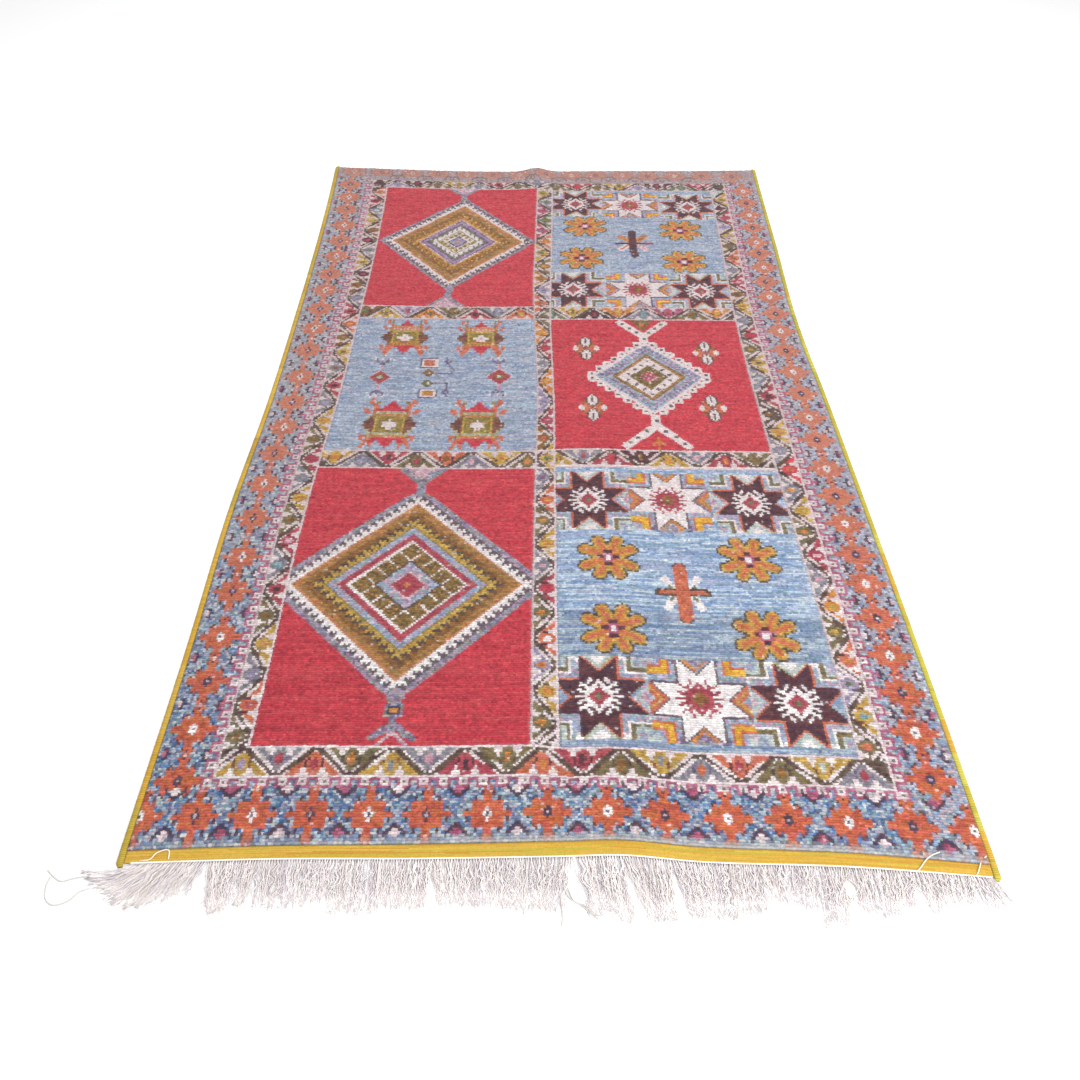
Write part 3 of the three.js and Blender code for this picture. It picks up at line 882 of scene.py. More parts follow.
# %% Boxes and bent lines
for c, r, high, core in ((79.5, 267.5, 3.8, "coral"), (80, 241.8, 2.8, "honey")):
    boxed(c, r, 4.3, high, beasts, (1.2, "dusk"), (1, "ivory"), (0.65, core), (0.2, "tan"))
for r, dye in ((259, "brown"), (250, "olive")):
    nested(79.5, r, 1, 1, beasts, (3.6, dye), (1.2, "mint"))
stroke("dusk", 1.1, (83, 258.5), (92, 258.5), (92.5, 262), (90.5, 266), (88, 269), (89, 272))
stroke("dusk", 1.1, (83, 250.5), (89.5, 250.5), (89.5, 240))
for r in (269, 243):
    nested(89.5, r, 1, 1, beasts, (2.6, "dusk"), (1.2, "lavender"))

# %% [markdown]
# ## Stars and flowers of the blue panels
# Each blue panel on the right carries a row of three eight-pointed stars at either end, dark, white and
# dark, and four flowers round a cross-shaped bar. A star is two tests laid over each other, one for the
# arms that point along the rug and one for the arms that point across it.

# %% Star panels
crab = """
...W......
W..WW.....
WW..W..W..
.WW..WWW..
CWWWWW....
CCWWW..WW.
CCCWWWWW..
GCCCWW....
GGCCCWWWWW
""".split()
burst = """
...C......
C..C......
CC..C..C..
.CC.CCC...
CCCCC.....
BCCCCC.CC.
BBCCCCCC..
BBBCCC....
BBBBCCCCCC
""".split()


STAR_HALF, STAR_REACH, HALF_SQUARE, NOTCH, OUTLINE_WIDE = 18, 18.2, 7.3, 11, 0.9


def star(c, r, dye, outline, within, half_high):
    """An eight-pointed star, STAR_HALF knots to either side and half_high knots up and down: a middle
    square with two right-angled teeth on each side, which meet at the NOTCH."""
    x, y = from_place(c, r)
    x, y = np.abs(x), np.abs(y) * STAR_HALF / half_high
    for grow, colour in ((OUTLINE_WIDE, outline), (0, dye)):
        square, notch = HALF_SQUARE + grow, NOTCH + grow
        arms = ((x < square) & (y < notch + x)) | ((y < square) & (x < notch + y))
        tie(colour, within & arms & (np.maximum(x, y) < STAR_REACH))


def cell_corners(c, r, half_wide, half_high, within, *steps):
    """The four corners of a star's cell, filled with angles one inside the other. Each step is the
    distance from the star's middle lines at which its dye begins."""
    x, y = [np.abs(distance) for distance in from_place(c, r)]
    inside = within & (x < half_wide) & (y < half_high)
    for low, dye in steps:
        tie(dye, inside & (np.minimum(x, y) >= low))


PETAL_TIPS, PETAL_LONG, DRAWN_HALF = ((12, 5.8), (5, 11.5)), 0.82, 11


def flower(c, r, within, half_wide=11.5):
    """A flower of eight petals, each a capsule from the middle towards its tip. The distance from the
    nearest petal's line gives the rings."""
    x, y = from_place(c, r)
    x, y = np.abs(x) * DRAWN_HALF / half_wide, np.abs(y)
    petal = np.inf
    for right_by, up_by in PETAL_TIPS:
        share = np.clip((x * right_by + y * up_by) / (right_by ** 2 + up_by ** 2), 0, PETAL_LONG)
        petal = np.minimum(petal, np.hypot(x - share * right_by, y - share * up_by))
    rings(petal, within, (3.3, "bark"), (2.6, "yellow"), (1.6, "orange"), (0.6, "coral"))
    tie("plum", within & ((x < 1.6) & (y < 4.5) | (y < 1.2) & (x < 4.5)))
    tie("magenta", within & (x < 2.2) & (y < 2.4))
    tie("ivory", within & (np.maximum(x, y) < 1.3))


def star_row(places, half_high, within):
    """A row of three stars with what stands round and between them."""
    (c0, r0), (c1, r1), (c2, r2) = places
    _, from_middle = from_place(c1, (r0 + r2) / 2)
    slope = (r2 - r0) / (c2 - c0)
    within = within & (np.abs(from_middle - slope * (column - seat(c1, r1)[0])) < half_high + 0.6)
    cell_corners(c1, r1, 19.5, half_high + 1, within, (8, "sky speckle"), (10.4, "coral"),
                 (11.2, "marigold"), (13.6, "coral"), (14.4, "sky speckle"), (16.5, "mint"))
    for c, r in places[::2]:
        cell_corners(c, r, 19, half_high + 1, within, (8, "sky speckle"), (10.3, "ivory"), (11.3, "olive"),
                     (13, "mint"), (14.4, "sky speckle"), (17, "mint"))
    for c, r, facing in (((c0 + c1) / 2, (r0 + r1) / 2, 1), ((c1 + c2) / 2, (r1 + r2) / 2, -1)):
        to_white_star = facing * from_place(c, r)[0] > 0
        nested(c, r, 9, 9, within & to_white_star, (1.2, "sky speckle"), (0.98, "violet speckle"),
               (0.78, "coral"), (0.6, "yellow"), (0.46, "coral"), (0.3, "sky speckle"))
        nested(c, r, 9, 9, within & ~to_white_star, (1.2, "mint"), (0.9, "sky speckle"), (0.65, "mint"),
               (0.4, "blush speckle"))
    by_dark_star = ((1.3, "ivory"), (0.95, "sage"), (0.7, "mint"), (0.4, "ivory"))
    by_white_star = ((1.3, "dusk"), (0.95, "sky speckle"), (0.7, "orange"), (0.5, "violet speckle"))
    for (c, r), steps in zip(places, (by_dark_star, by_white_star, by_dark_star)):
        for edge in (-1, 1):
            nested(c, r + edge * half_high, 8, 8 * half_high / STAR_HALF, within, *steps)
    for c, r in places[::2]:
        star(c, r, "plum", "coral", within, half_high)
        quarter(crab, *seat(c, r), {"W": "ivory", "C": "crimson", "G": "green"})
    star(c1, r1, "ivory", "dark teeth", within, half_high)
    quarter(burst, *seat(c1, r1), {"C": "crimson", "B": "brown"})


# %% Near star panel
blue_near = block(*RIGHT_PANEL, *first)
star_row([(161.5, 57.5), (200, 58), (238.5, 57)], 18, blue_near & (row < seat(200, 76.5)[1]))
star_row([(162.5, 164), (200, 165), (239, 164)], 18, blue_near & (row > seat(200, 145)[1]))
for place in ((169, 90), (231.5, 89), (169.5, 128.5), (231.5, 129.5)):
    flower(*place, blue_near)
for side in (-1, 1):
    for tip_row in (118, 102.5):
        stroke("ivory", 3.4, (200 + 3 * side, 110.3), (200 + 7 * side, tip_row))
        stroke("green", 1.4, (200 + 3 * side, 110.3), (200 + 5.5 * side, (tip_row + 110) / 2))
stroke("bark", 3.8, (190, 110.2), (210.5, 110.2))
stroke("coral", 2.4, (191, 110.2), (209.5, 110.2))
stroke("bark", 6.4, (200, 97.2), (200, 123.8))
stroke("coral", 5.2, (200, 97.2), (200, 123.8))

# %% Far star panel
blue_far = block(*RIGHT_PANEL, *third)
star_row([(161, 338), (200.5, 338.5), (239, 337)], 18, blue_far & (row < seat(200, 358)[1]))
star_row([(164, 440), (200.5, 438), (240, 436)], 16, blue_far & (row > seat(200, 420)[1]))
for place in ((166.5, 373), (231.5, 369), (169.5, 411), (232, 406)):
    flower(*place, blue_far, 12)
for dye, vein, tip in (("peach", "orange", (192.5, 398)), ("ivory", "coral", (192, 383.5)),
                       ("peach", "brown", (208, 398.5)), ("blush speckle", "pink", (208, 383.5))):
    stroke(dye, 4.6, (200.3, 391), tip)
    stroke(vein, 1.3, (200.3, 391), tip)
stroke("plum", 2, (189, 390), (212, 390))
stroke("crimson", 2, (208, 390), (212, 390))
stroke("plum", 5, (200.2, 376), (200.2, 403.5))

# %% [markdown]
# ## The red panel with a cross of boxes
# A diamond of beaded rings sits on the crossing of two chains of little boxes, with a small flower in
# each quarter of the field.

# %% Panel of the beaded diamond
red_middle = block(*RIGHT_PANEL, *second)
BEAD_STEP, BEAD_RING = 4.6, 34.3
x, y = from_place(199.5, 256)
aside, ahead = np.abs(x), np.abs(y) * 34 / 32.5
reach = aside + ahead
bead = np.round((aside - ahead + BEAD_RING) / (2 * BEAD_STEP))
bead_distance = np.maximum(np.abs(aside - bead * BEAD_STEP), np.abs(ahead - BEAD_RING + bead * BEAD_STEP))
rings(bead_distance, red_middle & (reach < BEAD_RING + 4), (2.5, "ivory"), (0.8, "dark teeth"))
rings(reach, red_middle, (32.2, "ivory"), (30, "sky speckle"), (25.5, "violet speckle"),
      (22.5, "sky speckle"), (21, "moss brown"), (19.5, "tan"), (17.6, "ivory"), (11, "moss brown"))
along_edge = (aside - ahead + 40) % 8
tie("dusk", red_middle & (reach > 26) & (reach < 29) & (along_edge % 4 < 1.4))
tie("dark teeth", red_middle & (reach > 12.6) & (reach < 16) & (along_edge < 2.2))
tie("crimson", red_middle & (np.hypot(x, y) < 4.2))
tie("blush speckle", red_middle & (reach < 6.5) & ((knot_column + 2 * knot_row) % 5 == 0))
chains = [
    # each from the diamond outwards
    [(199.5, 224), (199.5, 217), (183, 201.5)], [(199.5, 217), (214, 202)],
    [(200, 288), (200, 292), (187.5, 305)], [(200, 292), (213, 304.5)],
]
for chain in chains:
    stroke("ivory", 4.6, *chain)
dots = [(199.5, 220.5), (194, 212.5), (189.5, 208.3), (185.2, 204), (204, 212.8), (208.2, 208.5),
        (212.5, 204), (200, 290), (196.5, 296), (192.7, 299.8), (188.9, 303.6), (203.7, 295.6),
        (207.8, 299.6), (211.8, 303.4)]
for n, dot in enumerate(dots):
    boxed(*dot, 1, 1, red_middle, (1, "green" if n % 2 else "dark teeth"))
x, y = from_place(200, 297)
tie("moss brown", red_middle & (y > 1) & (np.abs(x) < 0.6 * y))
tie("coral", red_middle & (np.abs(y - 6) < 1.5) & (np.abs(x) < 1.5))
for path in (((199.5, 199), (199.5, 208)), ((196.5, 203), (199.5, 206), (202.5, 203))):
    stroke("orange", 1.4, *path)

# %% Small flowers
small_flower = """
Wk......
kWk.....
kWWk....
kWWk....
kWWk....
kWWk.E..
WWWkEE..
WWkOOE..
kWkOOOW.
OkOOOWWW
kOOOOWWW
""".split()
for place in ((167, 230.5), (230.5, 231), (166.5, 280), (234, 277.5)):
    quarter(small_flower, *seat(*place), {"W": "ivory", "k": "bark", "E": "brown", "O": "coral"})

# %% [markdown]
# ## Arches of the far border
# The far border has no room for hats, so dark arches stand between its rosettes.

# %% Arches of the far border
arch = """
kkk...
kkkkk.
...kkk
Wk..kk
Wkk..k
kk...k
k....k
""".split()
far_places = rosette_places["far"]
for (c0, r0), (c1, r1) in zip(far_places, far_places[1:]):
    halves(arch, (c0 + c1) / 2, (r0 + r1) / 2 - 6, {"k": "dark teeth", "W": "blush speckle"})


# %% [markdown]
# ## From chart to wool
# Each knot now gets its colour. Along a row the weaver's yarn keeps one shade for a few knots, so the
# strand is drawn once for each run and not for each knot. Small changes of brightness from knot to knot
# and from row to row finish the heather of hand-spun wool. The dyes are listed as they look under bright
# studio light, so the wool itself is darker than its name says, by one share for all.

# %% Strands and shades
KNOT_UNEVEN, ROW_UNEVEN, WOOL_LEVEL = 0.13, 0.02, 0.736


def to_light(srgb):
    """Eight-bit sRGB as the light values that shaders use, by the sRGB curve."""
    s = np.asarray(srgb, float) / 255
    return np.where(s <= 0.04045, s / 12.92, ((s + 0.055) / 1.055) ** 2.4)


def spun(dye, shape):
    """Strand colours for a whole grid in one dye: a new strand starts at random, once a run on average."""
    run, strands = dyes[dye]
    runs = np.cumsum(rng.random(shape) < 1 / run, axis=1)
    draw = rng.integers(0, len(strands), (shape[0], shape[1] + 1))
    return WOOL_LEVEL * to_light(strands)[np.take_along_axis(draw, runs, 1)]


wool = np.zeros((ROWS, COLUMNS, 3))
for number, name in enumerate(dye_names):
    here = chart == number
    wool[here] = spun(name, chart.shape)[here]
wool *= rng.normal(1, KNOT_UNEVEN, (ROWS, COLUMNS, 1)) * rng.normal(1, ROW_UNEVEN, (ROWS, 1, 1))
print(f"{ROWS * COLUMNS} knots coloured, mean light {wool.mean():.2f}")

# %% [markdown]
# The far end looks paler than the near one, where the rust wool of the border is almost brown and the
# blues are nearly grey. So some dyes fade along the rug towards a colour of their own, and the last rows
# beyond the far bands are washed out altogether. And where a new batch of yarn begins, the ground changes
# its shade from one row to the next, as it does in the near blue panel. Right behind the gold band the
# first rows are pale, most of all from the middle to the right.

# %% Fading
FADE_FROM, FADE_OVER, WASHED, WASHED_SHARE = 20, 230, (180, 146, 138), 0.5
faded = {
    # dye: its faded colour as eight-bit sRGB, and how much of it there is in the end
    "rust": ((206, 140, 119), 0.65),
    "border blue": ((194, 180, 180), 0.55),
    "heather": ((190, 170, 170), 0.3),
    "ivory": ((228, 209, 209), 0.8),
    "band ivory": ((216, 192, 190), 0.8),
    "rose ivory": ((214, 188, 191), 0.8),
}
along_fade = np.broadcast_to(soft_step((row - FADE_FROM) / FADE_OVER), chart.shape)
for name, (colour, most) in faded.items():
    here = chart == dye_names.index(name)
    share = most * along_fade[here][:, None]
    wool[here] += share * (WOOL_LEVEL * to_light(colour) - wool[here])
wool[FAR_BORDER:] += WASHED_SHARE * (WOOL_LEVEL * to_light(WASHED) - wool[FAR_BORDER:])
NEW_BATCH_AT, BATCH_OVER, OLD_BATCH, NEW_BATCH = 98, 4, 0.88, 1.12
batch = OLD_BATCH + (NEW_BATCH - OLD_BATCH) * soft_step((row - NEW_BATCH_AT) / BATCH_OVER)
here = (chart == dye_names.index("sky")) & (row < SECOND_NEAR)
wool[here] *= np.broadcast_to(batch, chart.shape)[here][:, None]
NEAR_RIM, RIM_SHARES, RIM_AT_LEFT = (204, 202, 198), (0.8, 0.5, 0.2), 0.35
rim_across = RIM_AT_LEFT
for change, from_column, over_columns in ((0.65, 60, 90), (-0.4, 230, 50)):
    rim_across = rim_across + change * soft_step((column - from_column) / over_columns)
for n, share in enumerate(RIM_SHARES):
    to_rim_colour = WOOL_LEVEL * to_light(NEAR_RIM) - wool[n]
    wool[n] += share * rim_across[:, None] * to_rim_colour
SPECKS, SPECK_SHARE = 0.012, 0.3
specks = (rng.random(chart.shape) < SPECKS) & (chart != dye_names.index("red"))
wool[specks] += SPECK_SHARE * (1 - wool[specks])
wool = np.clip(wool, 0, 1)

# %% [markdown]
# ## Cloth with one fine side
# Pile, back and band are all the same kind of body: a fine, coloured surface on one side, a coarse one
# on the other, and walls between them. Both sides are grids, and a grid of coarse cells says which part
# of the rug the piece covers, so a border with a hole in it is made by the same function as a panel.
# A wall is one face with many corners, which joins a fine edge to a coarse one without a gap.

# %% Meshes from arrays
def new_piece(name, points, faces, colours, maps, material, smooth=True):
    """A mesh object. faces is a list of index arrays, each with one row per face; colours and maps hold
    one row per face corner in the same order."""
    corners = np.concatenate([f.ravel() for f in faces])
    counts = np.concatenate([np.full(len(f), f.shape[1]) for f in faces])
    mesh = bpy.data.meshes.new(name)
    mesh.vertices.add(len(points))
    mesh.vertices.foreach_set("co", np.asarray(points, np.float32).ravel())
    mesh.loops.add(len(corners))
    mesh.loops.foreach_set("vertex_index", corners.astype(np.int32))
    mesh.polygons.add(len(counts))
    starts = np.concatenate([[0], np.cumsum(counts)[:-1]])
    mesh.polygons.foreach_set("loop_start", starts.astype(np.int32))
    mesh.update(calc_edges=True)
    if colours is not None:
        rgba = np.ones((len(corners), 4), np.float32)
        rgba[:, :3] = colours
        mesh.color_attributes.new("dye", "FLOAT_COLOR", "CORNER").data.foreach_set("color", rgba.ravel())
    for map_name, places in maps.items():
        mesh.uv_layers.new(name=map_name).data.foreach_set("uv", places.astype(np.float32).ravel())
    mesh.polygons.foreach_set("use_smooth", np.full(len(counts), smooth))
    mesh.materials.append(material)
    made = bpy.data.objects.new(name, mesh)
    bpy.context.scene.collection.objects.link(made)
    triangles = int((counts - 2).sum())
    print(f"{name}: {triangles} triangles")
    return made


def at_corners(grid):
    """The grid's values at the four corners of each of its cells, anticlockwise from the near left."""
    return np.stack([grid[:-1, :-1], grid[:-1, 1:], grid[1:, 1:], grid[1:, :-1]], 2)


def cuts(lines, longest):
    """Whole numbers that hold all the given lines, with no step above the longest."""
    found = [lines[0]]
    for low, high in zip(lines, lines[1:]):
        steps = int(np.ceil((high - low) / longest))
        found += [round(low + (high - low) * (k + 1) / steps) for k in range(steps)]
    return np.array(found)


MAP_RIM, SHOWN_PART, PATCH_FROM, PATCH_WIDE, WALL_SPREAD = 0.01, 0.90, 0.92, 0.05, 0.02


def unrolled(places, shown):
    """A flat map for a cloth's face corners: the fine side as seen from above fills most of the square,
    and the coarse side and the walls, all of one colour, share a small patch in a corner of it, where
    a wall's height is added to both directions so that it keeps some width."""
    low, high = places[:shown].min(0), places[:shown].max(0)
    flat = (places[:, :2] - low[:2]) / (high - low)[:2]
    rise = (places[:, 2:] - places[:, 2].min()) / np.ptp(places[:, 2])
    spots = MAP_RIM + flat * (SHOWN_PART - MAP_RIM)
    spots[shown:] = PATCH_FROM + flat[shown:] * PATCH_WIDE + rise[shown:] * WALL_SPREAD
    return spots


def cloth(name, fine, coarse, at_row, at_column, covered, colours, root, material, upwards=True):
    """A closed body between a fine and a coarse grid of points. at_row and at_column say which fine
    lines the coarse ones share, covered which coarse cells belong to it, colours holds four corner
    colours for each fine cell, and root is the painted shade colour of walls and coarse side."""
    rows, columns = fine.shape[0], fine.shape[1]
    number = np.arange(rows * columns).reshape(rows, columns)
    base = rows * columns + np.arange(coarse.shape[0] * coarse.shape[1]).reshape(coarse.shape[:2])
    inside = np.repeat(np.repeat(covered, np.diff(at_row), 0), np.diff(at_column), 1)
    quads = at_corners(number)[inside]
    under = np.stack([base[:-1, :-1], base[1:, :-1], base[1:, 1:], base[:-1, 1:]], -1)[covered]
    padded = np.pad(covered, 1)
    walls = []
    for i, j in np.argwhere(covered):
        (r0, r1), (c0, c1) = at_row[i:i + 2], at_column[j:j + 2]
        for neighbour, coarse_edge, fine_edge in (
            (padded[i, j + 1], base[i, [j, j + 1]], number[r0, c0:c1 + 1][::-1]),
            (padded[i + 2, j + 1], base[i + 1, [j + 1, j]], number[r1, c0:c1 + 1]),
            (padded[i + 1, j], base[[i + 1, i], j], number[r0:r1 + 1, c0]),
            (padded[i + 1, j + 2], base[[i, i + 1], j + 1], number[r0:r1 + 1, c1][::-1]),
        ):
            if not neighbour:
                walls.append([*coarse_edge, *fine_edge])
    faces = [quads, under, *[np.array([w]) for w in walls]]
    if not upwards:
        faces = [f[:, ::-1] for f in faces]
    points = np.concatenate([fine.reshape(-1, 3), coarse.reshape(-1, 3)])
    corners = np.concatenate([f.ravel() for f in faces])
    used, renumbered = np.unique(corners, return_inverse=True)
    ends = np.cumsum([f.size for f in faces])
    packed = [renumbered[end - f.size:end].reshape(f.shape) for f, end in zip(faces, ends)]
    shade = np.tile(np.asarray(root, float), (len(corners), 1))
    fine_colours = colours[inside]
    if not upwards:
        fine_colours = fine_colours[:, ::-1]
    shade[:quads.size] = fine_colours.reshape(-1, 3)
    return new_piece(name, points[used], packed, shade, {"OFBake": unrolled(points[corners], quads.size)},
                     material)


# %% [markdown]
# ## Wool as a finish
# Cut pile hardly shines: light goes in between the fibres. So the shader is rough, with a little sheen at
# grazing angles. The dye comes from the mesh, and noise as fine as a fibre breaks it up, in colour and
# in relief, because a knot is a tuft and not a tile.

# %% Wool finish
def fibre_finish(name, fibre_scale, colour_spread, relief, relief_depth, sheen):
    """A matt fibre finish. The colour is the mesh's own dye times noise of fibre_scale to the metre.
    relief is the bump's strength and relief_depth its height in metres."""
    material, nodes, links, shader = bare_material(name)
    set_socket(shader, Roughness=0.92, Sheen_Weight=sheen, Sheen_Roughness=0.6, Specular_IOR_Level=0.15)
    place = nodes.new("ShaderNodeTexCoord")
    fibre = nodes.new("ShaderNodeTexNoise")
    set_socket(fibre, Scale=fibre_scale, Detail=2, Roughness=0.6)
    links.new(place.outputs["Object"], fibre.inputs["Vector"])
    spread = nodes.new("ShaderNodeMapRange")
    set_socket(spread, From_Min=0.25, From_Max=0.75, To_Min=1 - colour_spread, To_Max=1 + colour_spread)
    links.new(fibre.outputs["Fac"], spread.inputs["Value"])
    shade = nodes.new("ShaderNodeVectorMath")
    shade.operation = "SCALE"
    dye = nodes.new("ShaderNodeVertexColor")
    dye.layer_name = "dye"
    links.new(dye.outputs["Color"], shade.inputs[0])
    links.new(spread.outputs["Result"], shade.inputs["Scale"])
    links.new(shade.outputs["Vector"], shader.inputs["Base Color"])
    bump = nodes.new("ShaderNodeBump")
    set_socket(bump, Strength=relief, Distance=relief_depth)
    links.new(fibre.outputs["Fac"], bump.inputs["Height"])
    links.new(bump.outputs["Normal"], shader.inputs["Normal"])
    return material


pile_finish, back_finish, gold_finish, warp_finish = [fibre_finish(*values) for values in (
    # name, fibres to the metre, spread of colour, relief, its height, sheen
    ("cut pile wool", 750, 0.30, 0.7, 0.8 * MM, 0.12),
    ("knotted back", 500, 0.10, 0.4, 0.4 * MM, 0.05),
    ("flat-woven wool", 900, 0.10, 0.5, 0.3 * MM, 0.08),
    ("undyed warp", 1200, 0.08, 0.4, 0.2 * MM, 0.05),
)]

# %% [markdown]
# ## The pile
# Cut pile stands in rows, each a low ridge between two sunk wefts. So every row of knots is two strips
# of faces that meet at its crest, and the valley corners take painted shade, the dye darkened there.
# The crests are uneven by a fraction of a millimetre, which the light picks up. At the near
# end nothing holds the tufts back, and the first rows lean out over the gold band.

# %% Heights of the pile
VALLEY, CREST_UNEVEN, SIDE_UNEVEN, ALONG_UNEVEN = 1.2 * MM, 0.55 * MM, 0.95 * MM, 0.7
LEANING_ROWS, OVER_BAND_GAP = 5, 0.4 * MM
lean_stations = np.array([
    # across, how far the pile leans over the band
    (-757, 6.5), (-500, 5.5), (-250, 3.5), (0, 2), (250, 2.5), (500, 4.5), (757, 7),
]) * MM
ROOT_LEVEL = 2 * MM
KNOT_WIDE, KNOT_LONG = RUG_WIDTH / COLUMNS, RUG_LENGTH / ROWS
# Painted shade: one dark colour for the walls and the coarse side of the pile and the ground weave
ROOT_PAINTED_SHADE = (0.16, 0.12, 0.11)

lines_across = np.arange(COLUMNS + 1, dtype=float)[None, :]
lines_along = np.arange(2 * ROWS + 1, dtype=float)[:, None] / 2
real_c, real_r = drifted(*np.broadcast_arrays(lines_across, lines_along))
x, y = plan(real_c / COLUMNS, real_r / ROWS)
to_rim = np.minimum(np.minimum(lines_across, COLUMNS - lines_across) * KNOT_WIDE,
                    np.minimum(lines_along, ROWS - lines_along) * KNOT_LONG)
fall = SHOULDER_FALL * (1 - soft_step(to_rim / SHOULDER_WIDE))
sunk = np.arange(2 * ROWS + 1)[:, None] % 2 == 0
z = lift(x, y) + PILE_THICK - fall - VALLEY * sunk + rng.normal(0, CREST_UNEVEN, x.shape)
loose = np.where(to_rim > 0, SIDE_UNEVEN, 0)
over_band = read(lean_stations, 1, x) * (1 - np.minimum(lines_along / LEANING_ROWS, 1))
pile_top = placed(x + loose * rng.normal(0, 1, x.shape),
                  y - over_band + ALONG_UNEVEN * loose * rng.normal(0, 1, x.shape), z)
print(f"pile up to {z.max() * 1000:.1f} mm, rows {KNOT_LONG * 1000:.2f} mm apart")

# %% [markdown]
# Seen close, a cut knot is no clean square. Its fibres splay over the knots beside it. So each corner
# of a face takes a share of the mean colour of the knots that meet there, and painted shade and light of
# its own: deep painted shade in the valleys, and on the crests a little painted light, with random painted
# shade on some.

# %% Colours of the pile
# Painted shade and light: valley corners are darkened, crest corners lightened, and some crest corners
# darkened at random
SPLAY, VALLEY_PAINTED_SHADE, VALLEY_PAINTED_SHADE_SPREAD, CREST_PAINTED_LIGHT, CREST_PAINTED_SHADE_SPREAD = 0.5, 0.45, 0.45, 1.12, 0.4


def in_valley(rows):
    """Which face corners lie in a valley, for so many rows of two strips: the near corners of the
    first strip and the far corners of the second."""
    two_strips = [[True, True, False, False], [False, False, True, True]]
    return np.tile(two_strips, (rows, 1))[:, None, :, None]


half_rows = np.repeat(wool, 2, axis=0)
edged = np.pad(half_rows, ((1, 1), (1, 1), (0, 0)), "edge")
meeting = at_corners(edged).mean(axis=2)
shares = SPLAY * rng.random((2 * ROWS, COLUMNS, 4, 1))
pile_colours = (1 - shares) * half_rows[:, :, None, :] + shares * at_corners(meeting)
chance = rng.random(shares.shape)
# painted shade in the valleys, painted light and some random painted shade on the crests
pile_colours *= np.where(in_valley(ROWS), VALLEY_PAINTED_SHADE + VALLEY_PAINTED_SHADE_SPREAD * chance,
                         CREST_PAINTED_LIGHT - CREST_PAINTED_SHADE_SPREAD * chance ** 2)
pile_colours = np.clip(pile_colours, 0, 1)

# %% Pieces of the pile
LONGEST_CELL = 10
column_cuts = cuts([0, OUTER_LEFT, FIELD_LEFT, CENTRE_LEFT, FIELD_RIGHT, LAST_RIGHT, OUTER_RIGHT + 1,
                    COLUMNS], LONGEST_CELL)
row_cuts = cuts([0, *MAIN_ROWS, ROWS], LONGEST_CELL)
cell_columns = (column_cuts[:-1] + column_cuts[1:]) / 2
cell_rows = ((row_cuts[:-1] + row_cuts[1:]) / 2)[:, None]
roots = pile_top[np.ix_(row_cuts * 2, column_cuts)].copy()
roots[..., 2] = ROOT_LEVEL + lift(x, y)[np.ix_(row_cuts * 2, column_cuts)]
roots[0, :, 1] = y[0, column_cuts] + shift_y
roots[0, :, 2] = BAND_THICK + OVER_BAND_GAP


def cells_in(across, along):
    """The coarse cells between two columns and two rows of the chart."""
    return ((cell_columns > across[0]) & (cell_columns < across[1])
            & (cell_rows > along[0]) & (cell_rows < along[1]))


inner_field = cells_in((OUTER_LEFT, OUTER_RIGHT + 1), (NEAR_LINE, FAR_BORDER))
panels = {f"{side}_{which}_panel": cells_in(across, along)
          for side, across in (("left", LEFT_PANEL), ("right", RIGHT_PANEL))
          for which, along in (("first", first), ("second", second), ("third", third))}
round_panels = {"border_pile": ~inner_field,
                "bands_pile": inner_field & ~np.any(list(panels.values()), 0)}
pile_pieces = [
    cloth(name, pile_top, roots, row_cuts * 2, column_cuts, covered, pile_colours, ROOT_PAINTED_SHADE, pile_finish)
    for name, covered in (round_panels | panels).items()
]

# %% [markdown]
# ## The ground weave
# Turned over, a rug shows its chart again in flat little loops, finer and duller than the pile. The ground
# weave is a thin closed sheet with that side down, and it is what makes the rug one cloth: the pile stands
# in it. A face spans two knots each way, and each of its corners has the colour of the knot that lies there.

# %% Ground weave
WEAVE_THICK, BACK_UNEVEN, BACK_DULL = 3 * MM, 0.25 * MM, 0.82
LONGEST_TOP_CELL = 8
back_rows, back_columns = [np.append(np.arange(0, count, 2), count) for count in (ROWS, COLUMNS)]
row_steps = cuts([0, len(back_rows) - 1], LONGEST_TOP_CELL)
column_steps = cuts([0, len(back_columns) - 1], LONGEST_TOP_CELL)
back_x, back_y = x[np.ix_(back_rows * 2, back_columns)], y[np.ix_(back_rows * 2, back_columns)]
uneven = np.abs(rng.normal(0, BACK_UNEVEN, back_x.shape))
back = placed(back_x, back_y, lift(back_x, back_y) + uneven)
weave_top = back[np.ix_(row_steps, column_steps)].copy()
weave_top[..., 2] = WEAVE_THICK + lift(back_x, back_y)[np.ix_(row_steps, column_steps)]
near_knots, left_knots = back_rows[:-1], back_columns[:-1]
far_knots, right_knots = back_rows[1:] - 1, back_columns[1:] - 1
back_colours = BACK_DULL * np.stack([
    wool[np.ix_(near_knots, left_knots)], wool[np.ix_(near_knots, right_knots)],
    wool[np.ix_(far_knots, right_knots)], wool[np.ix_(far_knots, left_knots)],
], 2)
ground = cloth("ground_weave", back, weave_top, row_steps, column_steps,
               np.ones((len(row_steps) - 1, len(column_steps) - 1), bool), back_colours, ROOT_PAINTED_SHADE,
               back_finish, upwards=False)

# %% [markdown]
# ## The gold band
# Before the first row of knots the weaver beats in a few centimetres of plain weft, here gold wool with
# lime streaks. The wefts hide the warps and lie as fine ribs across the rug. The band is the same kind
# of cloth body, with a bead over each warp that changes place from one weft to the next.

